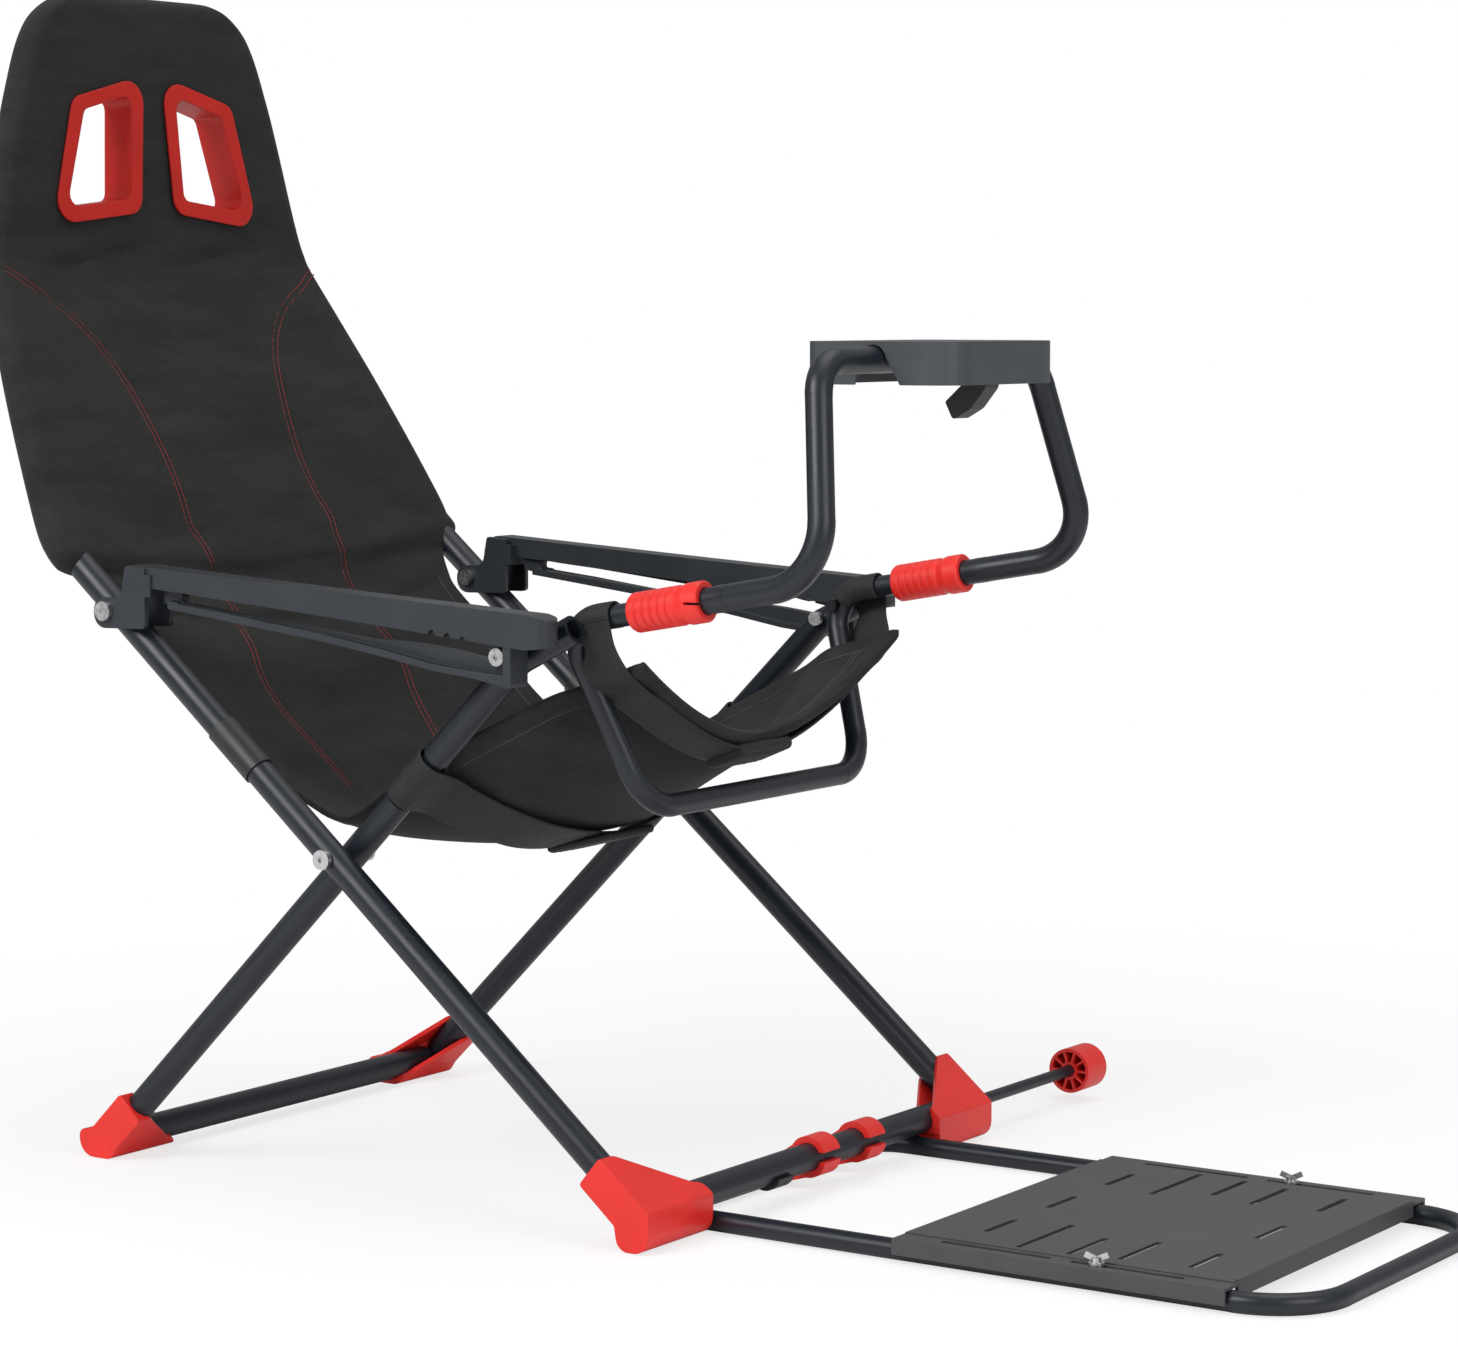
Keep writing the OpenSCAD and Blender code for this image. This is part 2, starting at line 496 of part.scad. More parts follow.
seat_n = 12;
seat_t = 7;
seat_rows = [[-258, 492, 217, 494, 2], [-231, 455, 217, 474, 2], [-192, 397, 216, 442, 2], [-150, 341, 214, 408, 2.1],
    [-100, 299, 210, 364, 2.2], [-60, 279, 206, 330, 2.2], [-24, 269, 203, 306, 2.2], [30, 267, 203, 336, 2.2],
    [64, 271, 203, 352, 2.2], [116, 288, 203, 380, 2.1], [160, 311, 198, 401, 1.9], [180, 322, 184, 412, 1.7],
    [200, 336, 171, 424, 1.5], [218, 349, 168, 433, 1.35], [235, 362, 166, 445, 1.25]];
seat_k = len(seat_rows) - 1;
seat_side = leg_a_y - 242;
function row_pt(r, s) = [r[0], s * (r[2] + seat_side), r[1] + (r[3] - r[1]) * pow(abs(s), r[4])];
function row_z(r, y) = row_pt(r, y / (r[2] + seat_side)).z;
module seat_cloth() color("#303032") at_frame() {
    w = seat_n + 1;
    m = len(seat_rows) * w;
    low = [for (r = seat_rows) for (j = [0 : seat_n]) row_pt(r, -1 + 2 * j / seat_n)];
    faces = concat(
        [for (i = [0 : seat_k - 1]) for (j = [0 : seat_n - 1]) let (a = i * w + j) each
            [[a, a + 1, a + w + 1], [a, a + w + 1, a + w], [m + a, m + a + w + 1, m + a + 1], [m + a, m + a + w, m + a + w + 1]]],
        [for (j = [0 : seat_n - 1]) let (a = seat_k * w + j) each
            [[j, m + j, m + j + 1], [j, m + j + 1, j + 1], [a, a + 1, m + a + 1], [a, m + a + 1, m + a]]],
        [for (i = [0 : seat_k - 1]) let (a = i * w, b = i * w + seat_n) each
            [[a, a + w, m + a + w], [a, m + a + w, m + a], [b, m + b, m + b + w], [b, m + b + w, b + w]]]);
    polyhedron(concat(low, [for (p = low) p + [0, 0, seat_t]]), faces);
}

strap_t = 2.2;
function ring(c, w, r, a0, a1, n) = let (e = unit(cross([0, 1, 0], w)), f = e.z < 0 ? -e : e)
    [for (i = [0 : n]) let (a = a0 + (a1 - a0) * i / n) c + r * (cos(a) * [0, 1, 0] + sin(a) * f)];
module ribbon(half, w_half, half_w) {
    k = len(half) - 1;
    p = concat(half, [for (i = [k - 1 : -1 : 0]) flip(half[i])]);
    w = concat(w_half, [for (i = [k - 1 : -1 : 0]) w_half[i]]);
    n = len(p) - 1;
    pts = [for (i = [0 : n]) let (t = unit(p[min(i + 1, n)] - p[max(i - 1, 0)]), q = unit(cross(t, w[i])) * strap_t / 2) each
        [p[i] - half_w * w[i] - q, p[i] + half_w * w[i] - q, p[i] + half_w * w[i] + q, p[i] - half_w * w[i] + q]];
    polyhedron(pts, concat([[0, 1, 2], [0, 2, 3], [4 * n, 4 * n + 2, 4 * n + 1], [4 * n, 4 * n + 3, 4 * n + 2]],
        [for (i = [0 : n - 1]) for (j = [0 : 3]) let (a = 4 * i + j, b = 4 * i + (j + 1) % 4) each
            [[a, a + 4, b + 4], [a, b + 4, b]]]));
}

leg_b_dir = [cos(leg_b_deg), 0, sin(leg_b_deg)];
rear_row = seat_rows[8];
rear_ys = [-120, -80, -40, 0];
module rear_strap() color("#1b1c1e") at_frame() ribbon(
    concat(ring(on_b(91.5, -leg_b_y), leg_b_dir, tube_r - 2 + clear + strap_t / 2, -405, -110, 12),
        [for (y = rear_ys) [rear_row[0] + 2, y, row_z(rear_row, y) - 4]]),
    concat([for (i = [0 : 12]) leg_b_dir], [for (y = rear_ys) unit([1, 0, 0.2 + 0.3 * pow(y / 120, 2)])]), 21);

front_row = seat_rows[seat_k];
strap_at = knee + 50 * sock_dir;
front_ys = [-150, -110, -70, -30, 0];
strap_x = 242;
module front_strap() color("#1b1c1e") at_frame() ribbon(
    concat(ring(strap_at, sock_dir, front_r + join + 2 * clear + strap_t / 2, -390, -150, 12), [[strap_at.x + 5, -185, 444]],
        [for (y = front_ys) [strap_x, y, row_z(front_row, y) - 11 + 3 * pow(y / 150, 2)]]),
    concat([for (i = [0 : 12]) sock_dir], [for (i = [0 : len(front_ys)]) sock_dir]), 16.5);

back_hoop();
leg_a_right();
leg_a_left();
sleeve_a_right();
sleeve_a_left();
front_foot();
corner_front_right();
corner_front_left();
pivot_bolts();
arm_rear_bolts();
wheel_axle();
back_cloth();
head_trims();
leg_b_right();
leg_b_left();
rear_foot();
corner_rear_right();
corner_rear_left();
arm_front_bolts();
front_hinge_bolts();
arm_right();
arm_left();
front_frame();
clamp_right();
clamp_left();
wheel_support();
wheel_plate();
plate_lever();
pedal_loop();
pedal_clips();
pedal_plate();
wing_bolts();
side_wheel();
seat_cloth();
rear_strap();
front_strap();
foot_saddle();
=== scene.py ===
"""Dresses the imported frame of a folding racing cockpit: cloth, straps, threads, finishes, light, camera."""

import logging
import math
from dataclasses import dataclass, field
from enum import Enum
from typing import Any, Dict, List, Optional, Sequence, Tuple, Union

import bpy
import numpy as np
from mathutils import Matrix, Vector


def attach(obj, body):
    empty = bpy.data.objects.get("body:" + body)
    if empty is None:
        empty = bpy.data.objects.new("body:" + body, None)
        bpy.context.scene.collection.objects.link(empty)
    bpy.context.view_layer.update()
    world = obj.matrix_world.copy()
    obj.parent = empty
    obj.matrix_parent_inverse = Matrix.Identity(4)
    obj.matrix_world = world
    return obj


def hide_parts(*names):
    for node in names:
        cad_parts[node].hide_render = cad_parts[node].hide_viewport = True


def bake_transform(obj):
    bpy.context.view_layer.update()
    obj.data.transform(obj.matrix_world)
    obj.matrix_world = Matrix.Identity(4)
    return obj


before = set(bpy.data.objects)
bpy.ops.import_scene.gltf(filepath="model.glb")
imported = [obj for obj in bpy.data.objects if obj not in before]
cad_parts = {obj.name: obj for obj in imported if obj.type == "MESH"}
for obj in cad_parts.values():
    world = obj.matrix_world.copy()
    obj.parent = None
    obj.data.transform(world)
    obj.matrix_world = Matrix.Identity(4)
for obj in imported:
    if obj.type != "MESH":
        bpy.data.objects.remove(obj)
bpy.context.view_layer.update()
LOG = logging.getLogger("cockpit")
ORIGIN = np.array([194.5, 99.1, 0.0])
MM = 1000.0
TINY = 1e-12


class Side(Enum):
    """The two sides of the seat, as the sign of Y."""

    RIGHT = -1
    LEFT = 1


class Wire:
    """One shader socket on which sums are written as Python expressions."""

    def __init__(self, graph: "Graph", socket: Any) -> None:
        """Keeps the graph and the output socket."""
        self.graph = graph
        self.socket = socket

    def _math(self, operation: str, *values: Union["Wire", float]) -> "Wire":
        """Adds one Math node.

        Args:
            operation: the Math node's operation.
            values: numbers or wires for its sockets.

        Returns:
            The wire of its result.
        """
        return self.graph.node("ShaderNodeMath", {"operation": operation}, dict(enumerate(values)))

    def __add__(self, other: Union["Wire", float]) -> "Wire":
        """self + other."""
        return self._math("ADD", self, other)

    def __sub__(self, other: Union["Wire", float]) -> "Wire":
        """self - other."""
        return self._math("SUBTRACT", self, other)

    def __mul__(self, other: Union["Wire", float]) -> "Wire":
        """self * other."""
        return self._math("MULTIPLY", self, other)

    def sine(self) -> "Wire":
        """The sine of self."""
        return self._math("SINE", self)

    def part(self, index: int) -> "Wire":
        """One of the three parts of a vector."""
        split = self.graph.node("ShaderNodeSeparateXYZ", {}, {"Vector": self})
        return Wire(self.graph, split.socket.node.outputs[index])


class Graph:
    """The node tree of one material or world."""

    def __init__(self, tree: Any) -> None:
        """Empties the tree."""
        self.tree = tree
        tree.nodes.clear()

    def node(self, kind: str, settings: Dict[str, Any], sockets: Dict[Any, Any],
             output: Union[int, str] = 0) -> Wire:
        """Adds any node.

        Args:
            kind: the node's type.
            settings: its properties, set before its sockets.
            sockets: values or wires by socket name or index.
            output: the output that the wire takes.

        Returns:
            The wire of that output.
        """
        made = self.tree.nodes.new(kind)
        for name, value in settings.items():
            setattr(made, name, value)
        for name, value in sockets.items():
            socket = made.inputs[name]
            if isinstance(value, Wire):
                self.tree.links.new(value.socket, socket)
            elif hasattr(value, "__len__") and len(value) == 3 and socket.type == "RGBA":
                socket.default_value = (*value, 1.0)
            else:
                socket.default_value = value
        return Wire(self, made.outputs[output])

    def place(self) -> Wire:
        """The point in object coordinates, in metres."""
        return self.node("ShaderNodeTexCoord", {}, {}, "Object")

    def scaled(self, factors: Sequence[float]) -> Wire:
        """The object point times three factors."""
        return self.node("ShaderNodeVectorMath", {"operation": "MULTIPLY"},
                         {0: self.place(), 1: tuple(factors)})

    def noise(self, size: float, detail: float = 2.0, rough: float = 0.5,
              vector: Optional[Wire] = None) -> Wire:
        """Cloud noise whose features are about size metres across."""
        at = vector if vector is not None else self.place()
        return self.node("ShaderNodeTexNoise", {},
                         {"Vector": at, "Scale": 1.0 / size, "Detail": detail, "Roughness": rough})

    def mixed(self, factor: Union[Wire, float], a: Any, b: Any) -> Wire:
        """A colour between a and b."""
        return self.node("ShaderNodeMix", {"data_type": "RGBA"}, {0: factor, 6: a, 7: b}, 2)

    def between(self, value: Wire, low: float, high: float, to_low: float = 0.0,
                to_high: float = 1.0) -> Wire:
        """Maps low..high to to_low..to_high, clamped."""
        return self.node("ShaderNodeMapRange", {"clamp": True},
                         {"Value": value, "From Min": low, "From Max": high,
                          "To Min": to_low, "To Max": to_high})

    def bump(self, height: Wire, strength: float, distance: float, under: Optional[Wire] = None) -> Wire:
        """A normal raised by a height.

        Args:
            height: the height, from 0 to 1.
            strength: how much of the bump shows.
            distance: the bump's height in metres where the height is 1.
            under: the normal that it lies on.

        Returns:
            The wire of the normal.
        """
        sockets: Dict[Any, Any] = {"Height": height, "Strength": strength, "Distance": distance}
        if under is not None:
            sockets["Normal"] = under
        return self.node("ShaderNodeBump", {}, sockets)

    def surface(self, sockets: Dict[str, Any]) -> None:
        """Ends the material in one principled surface with these sockets."""
        self.end(self.node("ShaderNodeBsdfPrincipled", {}, sockets))

    def end(self, shader: Wire, kind: str = "ShaderNodeOutputMaterial") -> None:
        """Links a shader to the material's or the world's output."""
        last = self.tree.nodes.new(kind)
        self.tree.links.new(shader.socket, last.inputs["Surface"])


@dataclass(frozen=True)
class Finish:
    """A surface finish: its name and colour in linear light."""

    name: str
    colour: Tuple[float, float, float]

    def dress(self, graph: Graph) -> None:
        """Builds the nodes."""
        raise NotImplementedError

    def material(self) -> bpy.types.Material:
        """Makes the material once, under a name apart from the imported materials' names.

        Returns:
            The material.
        """
        name = f"look_{self.name}"
        found = bpy.data.materials.get(name)
        if found is None:
            found = bpy.data.materials.new(name)
            found.use_nodes = True
            self.dress(Graph(found.node_tree))
            found.diffuse_color = (*self.colour, 1.0)
        return found

    def shade(self, factor: float) -> Tuple[float, float, float]:
        """The colour times a factor."""
        return tuple(min(1.0, c * factor) for c in self.colour)


@dataclass(frozen=True)
class PowderCoat(Finish):
    """Fine orange peel powder coat over steel, with faint dust and rubbed patches."""

    rough: float = 0.42
    peel: float = 0.00012
    shine: float = 0.5
    patch_size: float = 0.05
    peel_size: float = 0.0011
    rub_size: float = 0.012
    rub: float = 0.22

    def dress(self, graph: Graph) -> None:
        """Peel bump, patchy gloss and faint rubbing.

        Args:
            graph: the material's empty tree.
        """
        patches = graph.noise(self.patch_size, 3.0, 0.6)
        fine = graph.noise(self.peel_size, 2.0, 0.55)
        rub = graph.between(graph.noise(self.rub_size, 4.0, 0.65), 0.62, 0.78)
        colour = graph.mixed(graph.between(patches, 0.3, 0.7), self.shade(0.88), self.shade(1.14))
        colour = graph.mixed(rub * self.rub, colour, self.shade(1.9))
        rough = graph.between(patches, 0.25, 0.75, self.rough - 0.06, self.rough + 0.07) + fine * 0.06
        graph.surface({"Base Color": colour, "Roughness": rough, "Specular IOR Level": self.shine,
                       "Normal": graph.bump(fine, 0.35, self.peel)})


@dataclass(frozen=True)
class Moulded(Finish):
    """Moulded plastic with a spark-eroded grain."""

    rough: float = 0.4
    grain: float = 0.00014
    edge: float = 0.0011
    shine: float = 0.5
    grain_size: float = 0.0009
    flow_size: float = 0.04
    scuff_size: float = 0.006
    scuff: float = 0.12

    def dress(self, graph: Graph) -> None:
        """Grain bump over softened edges, with flow marks in the colour.

        Args:
            graph: the material's empty tree.
        """
        grain = graph.noise(self.grain_size, 3.0, 0.6)
        flow = graph.noise(self.flow_size, 2.0, 0.5)
        drawn = graph.noise(self.scuff_size, 5.0, 0.7, graph.scaled((1.0, 0.25, 1.0)))
        scuff = graph.between(drawn, 0.66, 0.8)
        colour = graph.mixed(graph.between(flow, 0.3, 0.7), self.shade(0.93), self.shade(1.07))
        colour = graph.mixed(scuff * self.scuff, colour, self.shade(1.5))
        rough = graph.between(flow, 0.3, 0.7, self.rough - 0.04, self.rough + 0.05) + scuff * 0.08
        soft = graph.node("ShaderNodeBevel", {"samples": 4}, {"Radius": self.edge})
        graph.surface({"Base Color": colour, "Roughness": rough, "Specular IOR Level": self.shine,
                       "Normal": graph.bump(grain, 0.3, self.grain, soft)})


@dataclass(frozen=True)
class Zinc(Finish):
    """Bright zinc plate with fine turning marks."""

    mark_size: float = 0.0006
    dull_size: float = 0.004
    relief: float = 0.00008

    def dress(self, graph: Graph) -> None:
        """Fine marks in gloss and bump.

        Args:
            graph: the material's empty tree.
        """
        marks = graph.noise(self.mark_size, 2.0, 0.5, graph.scaled((1.0, 3.0, 1.0)))
        dull = graph.noise(self.dull_size, 3.0, 0.6)
        colour = graph.mixed(graph.between(dull, 0.35, 0.65), self.shade(0.8), self.colour)
        graph.surface({"Base Color": colour, "Metallic": 1.0,
                       "Roughness": graph.between(dull, 0.3, 0.7, 0.22, 0.42),
                       "Normal": graph.bump(marks, 0.2, self.relief)})


@dataclass(frozen=True)
class Suede(Finish):
    """Dense suede-like cloth: short nap, faint weave and soft brushing marks."""

    weave: float = 0.0011
    nap_size: float = 0.0014
    brush_size: float = 0.035
    fleck_size: float = 0.0045
    relief: float = 0.0005
    weave_lean: Tuple[float, float] = (0.56, 0.83)

    def dress(self, graph: Graph) -> None:
        """Weave of crossed threads, nap noise and broad brushing in the colour.

        Args:
            graph: the material's empty tree.
        """
        place = graph.place()
        across = (place.part(1) * (2 * math.pi / self.weave)).sine()
        level, upright = self.weave_lean
        sloped = place.part(2) * upright - place.part(0) * level
        along = (sloped * (2 * math.pi / self.weave)).sine()
        nap = graph.noise(self.nap_size, 4.0, 0.7)
        brush = graph.noise(self.brush_size, 3.0, 0.62, graph.scaled((1.0, 0.35, 1.5)))
        fleck = graph.noise(self.fleck_size, 3.0, 0.7)
        tone = graph.between(brush * 0.55 + fleck * 0.3 + nap * 0.15, 0.36, 0.64)
        colour = graph.mixed(tone, self.shade(0.72), self.shade(1.3))
        colour = graph.mixed(graph.between(nap, 0.55, 0.8) * 0.3, colour, self.shade(1.9))
        height = nap * 0.7 + across * along * 0.12 + fleck * 0.5
        graph.surface({"Base Color": colour, "Roughness": graph.between(nap, 0.3, 0.7, 0.84, 0.97),
                       "Specular IOR Level": 0.16, "Sheen Weight": 0.08, "Sheen Roughness": 0.5,
                       "Sheen Tint": (0.6, 0.58, 0.55), "Normal": graph.bump(height, 0.55, self.relief)})


@dataclass(frozen=True)
class Webbing(Finish):
    """Smooth woven strap with fine ribs across it."""

    rib: float = 0.0021
    cord: float = 0.0013
    dust_size: float = 0.01
    relief: float = 0.0003

    def dress(self, graph: Graph) -> None:
        """Ribs from the strap's own UV map, with a slight shine.

        Args:
            graph: the material's empty tree.
        """
        uv = graph.node("ShaderNodeTexCoord", {}, {}, "UV")
        ribs = (uv.part(0) * (2 * math.pi / self.rib)).sine()
        cords = (uv.part(1) * (2 * math.pi / self.cord)).sine()
        dust = graph.noise(self.dust_size, 4.0, 0.65)
        colour = graph.mixed(graph.between(dust, 0.35, 0.7), self.shade(0.8), self.shade(1.35))
        colour = graph.mixed(graph.between(ribs, 0.2, 1.0) * 0.2, colour, self.shade(1.8))
        graph.surface({"Base Color": colour, "Roughness": graph.between(dust, 0.3, 0.7, 0.55, 0.72),
                       "Specular IOR Level": 0.3,
                       "Normal": graph.bump(ribs * 0.6 + cords * 0.3, 0.35, self.relief)})


@dataclass(frozen=True)
class Thread(Finish):
    """Spun sewing thread."""

    twist_size: float = 0.0008
    relief: float = 0.0002

    def dress(self, graph: Graph) -> None:
        """Twist marks in colour and bump.

        Args:
            graph: the material's empty tree.
        """
        twist = graph.noise(self.twist_size, 2.0, 0.6)
        colour = graph.mixed(twist, self.shade(0.6), self.shade(1.3))
        graph.surface({"Base Color": colour, "Roughness": 0.7,
                       "Normal": graph.bump(twist, 0.4, self.relief)})


TUBE = PowderCoat("blue_grey_coat", (0.0088, 0.0117, 0.0178), rough=0.34, shine=0.42)
PLATE = PowderCoat("blue_grey_plate", (0.041, 0.047, 0.056), rough=0.44, peel=0.00018)
DECK = PowderCoat("grey_deck_coat", (0.058, 0.06, 0.061), rough=0.5, peel=0.0002, shine=0.4)
ARM = Moulded("arm_plastic", (0.0225, 0.0265, 0.0325), rough=0.44, shine=0.4)
DARK = Moulded("black_plastic", (0.011, 0.012, 0.0135), rough=0.46)
RED = Moulded("red_plastic", (0.73, 0.024, 0.018), rough=0.38, shine=0.4)
RIM_RED = Moulded("rim_red", (0.48, 0.0115, 0.006), rough=0.42, edge=0.0024, shine=0.3)
STEEL = Zinc("zinc", (0.66, 0.66, 0.67))
DARK_BOLT = Zinc("black_bolt", (0.05, 0.05, 0.055))
CLOTH = Suede("charcoal_suede", (0.0192, 0.0194, 0.0191))
STRAP = Webbing("strap_webbing", (0.016, 0.0163, 0.0174))
RED_THREAD = Thread("red_thread", (0.15, 0.0105, 0.01))
GREY_THREAD = Thread("grey_thread", (0.05, 0.05, 0.048))


def catmull(table: np.ndarray, t: np.ndarray) -> np.ndarray:
    """Smooth rows between the rows of a table, by a cubic through each four neighbours (Catmull-Rom).

    Args:
        table: rows of numbers, one row per station.
        t: station numbers, from 0 to the number of rows less one.

    Returns:
        One row for each t.
    """
    last = len(table) - 1
    i = np.clip(np.floor(t).astype(int), 0, last - 1)
    f = (t - i)[:, None]
    p0, p1, p2, p3 = (table[np.clip(i + k, 0, last)] for k in (-1, 0, 1, 2))
    return p1 + 0.5 * f * (p2 - p0 + f * (2 * p0 - 5 * p1 + 4 * p2 - p3 + f * (3 * (p1 - p2) + p3 - p0)))


def unit(v: np.ndarray) -> np.ndarray:
    """Vectors divided by their lengths."""
    return v / np.maximum(np.linalg.norm(v, axis=-1, keepdims=True), TINY)


def ramp(a: np.ndarray, low: float, high: float) -> np.ndarray:
    """A smooth step from 0 at low to 1 at high, 3s^2 - 2s^3."""
    s = np.clip((a - low) / (high - low), 0, 1)
    return s * s * (3 - 2 * s)


def bell(a: np.ndarray, centre: float, width: float) -> np.ndarray:
    """A Gauss bell about a centre."""
    return np.exp(-(((a - centre) / width) ** 2))


def plate(grid: np.ndarray, half: np.ndarray) -> Tuple[np.ndarray, np.ndarray, np.ndarray]:
    """A closed shell about a grid: both faces stand off it along its normals; half circles join its sides.

    Args:
        grid: the middle surface in millimetres, rows by columns by three; the half circles stand about its
            outer columns.
        half: half the thickness at each grid point.

    Returns:
        The points, the quads, and for each point of one row its place across, from -1 to 1.
    """
    rows, cols = grid.shape[:2]
    n = unit(np.cross(np.gradient(grid, axis=0), np.gradient(grid, axis=1)))
    off = n * half[..., None]
    angles = np.radians([0.0, 22.5, 45.0, 67.5])
    bend = angles[None, :, None]

    def side(edge: int, inner: int, sign: int) -> np.ndarray:
        """Half of a side's half circle: edge + half (cos a out + sign sin a normal)."""
        out = unit(grid[:, edge] - grid[:, inner]) * half[:, edge, None]
        return grid[:, edge, None] + np.cos(bend) * out[:, None] + sign * np.sin(bend) * off[:, edge, None]

    front = np.concatenate([side(0, 1, 1), grid + off, side(-1, -2, 1)[:, ::-1]], 1)
    back = np.concatenate([side(0, 1, -1)[:, 1:], grid - off, side(-1, -2, -1)[:, :0:-1]], 1)
    points = np.concatenate([front, back[:, ::-1]], 1)
    turned = np.ones(len(angles))
    across = np.concatenate([-turned, np.linspace(-1, 1, cols), turned])
    size, wide = points.shape[1], len(across)
    r, c = np.meshgrid(np.arange(rows - 1), np.arange(size), indexing="ij")
    a, b = r * size + c, r * size + (c + 1) % size
    quads = [np.stack([a, b, b + size, a + size], -1).reshape(-1, 4)]
    c = np.arange(wide - 1)
    cap = np.stack([c, c + 1, (size - c - 1) % size, (size - c) % size], -1)
    quads += [cap[:, ::-1], cap + (rows - 1) * size]
    return points.reshape(-1, 3), np.concatenate(quads), np.concatenate([across, across[-2:0:-1]])


def mesh_piece(name: str, points: np.ndarray, quads: np.ndarray, finish: Finish,
               uv: Optional[np.ndarray] = None, smooth: bool = True) -> bpy.types.Object:
    """Puts points in model millimetres and quads into a mesh object at the origin, in row metres.

    Args:
        name: the object's name.
        points: points, one a row, in the part source's millimetres.
        quads: corner numbers, four a row; a number said twice makes a triangle.
        finish: the finish it gets.
        uv: optional pairs in metres, one for each point.
        smooth: whether its faces are shaded smooth.

    Returns:
        The object, with its faces turned outwards.
    """
    mesh = bpy.data.meshes.new(name)
    keep = quads != np.roll(quads, -1, 1)
    corners, sides = quads[keep], keep.sum(1)
    mesh.vertices.add(len(points))
    mesh.vertices.foreach_set("co", ((points - ORIGIN) / MM).ravel())
    mesh.loops.add(len(corners))
    mesh.loops.foreach_set("vertex_index", corners)
    mesh.polygons.add(len(quads))
    mesh.polygons.foreach_set("loop_start", np.cumsum(sides) - sides)
    mesh.update(calc_edges=True)
    if uv is not None:
        mesh.uv_layers.new(name="UVMap").data.foreach_set("uv", uv[corners].ravel())
    mesh.polygons.foreach_set("use_smooth", np.full(len(mesh.polygons), smooth))
    if signed_volume(mesh) < 0:
        mesh.flip_normals()
    made = bpy.data.objects.new(name, mesh)
    bpy.context.scene.collection.objects.link(made)
    made.data.materials.append(finish.material())
    return made


def signed_volume(mesh: bpy.types.Mesh) -> float:
    """Six times the signed volume of a closed mesh, the sum of its triangles' triple products.

    Args:
        mesh: the mesh.

    Returns:
        A positive number where its faces look outwards.
    """
    mesh.calc_loop_triangles()
    co = np.zeros(len(mesh.vertices) * 3)
    mesh.vertices.foreach_get("co", co)
    tri = np.zeros(len(mesh.loop_triangles) * 3, int)
    mesh.loop_triangles.foreach_get("vertices", tri)
    p = co.reshape(-1, 3)[tri.reshape(-1, 3)]
    return float(np.einsum("ij,ij->i", p[:, 0], np.cross(p[:, 1], p[:, 2])).sum())


def row_point(x: float, y: float, z: float) -> Tuple[float, float, float]:
    """A point of the part source, in millimetres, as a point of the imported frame, in metres."""
    return tuple((np.array([x, y, z]) - ORIGIN) / MM)


@dataclass(frozen=True)
class Fold:
    """One family of folds: height bell(t) sin(across u + along t + bow u^2), faded at the edges."""

    height: float
    centre: float
    spread: float
    across: float
    along: float = 0.0
    bow: float = 0.0
    fade: float = 0.0
    tube_from: float = 0.66
    tube_to: float = 0.86

    def depth(self, t: np.ndarray, u: np.ndarray) -> np.ndarray:
        """The fold's height in millimetres; with no fade it dies out before the backrest tube.

        Args:
            t: station numbers.
            u: places across from -1 to 1.

        Returns:
            One number for each place.
        """
        v = np.abs(u)
        wave = self.height * bell(t, self.centre, self.spread)
        wave = wave * np.sin(self.across * u + self.along * t + self.bow * u * u)
        return wave * (1 - v ** self.fade if self.fade else 1 - ramp(v, self.tube_from, self.tube_to))


@dataclass(frozen=True)
class Stitching:
    """Short threads along a line: small beads with pointed ends, in one row or more."""

    finish: Finish
    pitch: float
    rows: Tuple[float, ...]
    long: float = 0.37
    wide: float = 0.62
    high: float = 0.5
    proud: float = 0.3
    free_end: float = 2.0
    samples: int = 1200
    bead: Tuple[Tuple[float, float, float], ...] = (
        (-1.5, 0, -0.4), (-1, 1, 0), (-1, 0, 1), (-1, -1, 0),
        (1, 1, 0), (1, 0, 1), (1, -1, 0), (1.5, 0, -0.4))
    faces: Tuple[Tuple[int, int, int, int], ...] = (
        (0, 1, 2, 2), (0, 2, 3, 3), (1, 4, 5, 2), (2, 5, 6, 3), (7, 5, 4, 4), (7, 6, 5, 5), (0, 3, 1, 1),
        (1, 3, 6, 4), (7, 4, 6, 6))

    def sew(self, name: str, line: np.ndarray, normal: np.ndarray) -> bpy.types.Object:
        """Lays beads at even steps along a line, each turned to the line's direction and the cloth's normal.

        Args:
            name: the piece's name.
            line: points along the line, on the cloth's face.
            normal: the face's normal at each of them.

        Returns:
            The stitches as one piece.
        """
        length = np.concatenate([[0], np.cumsum(np.linalg.norm(np.diff(line, axis=0), axis=1))])
        heads = np.arange(self.free_end, length[-1] - self.free_end, self.pitch)
        place, up = (np.stack([np.interp(heads, length, a[:, c]) for c in range(3)], -1)
                     for a in (line, normal))
        along, up = unit(np.gradient(place, axis=0)), unit(up)
        across = np.cross(up, along)
        centres = np.concatenate([place + d * across for d in self.rows])
        axes = np.stack([np.tile(v, (len(self.rows), 1)) for v in (along, across, up)], 1)
        shape = np.array(self.bead) * (self.long * self.pitch, self.wide, self.high)
        points = centres[:, None] + shape @ axes
        quads = np.array(self.faces)[None] + len(self.bead) * np.arange(len(centres))[:, None, None]
        return mesh_piece(name, points.reshape(-1, 3), quads.reshape(-1, 4), self.finish, smooth=False)


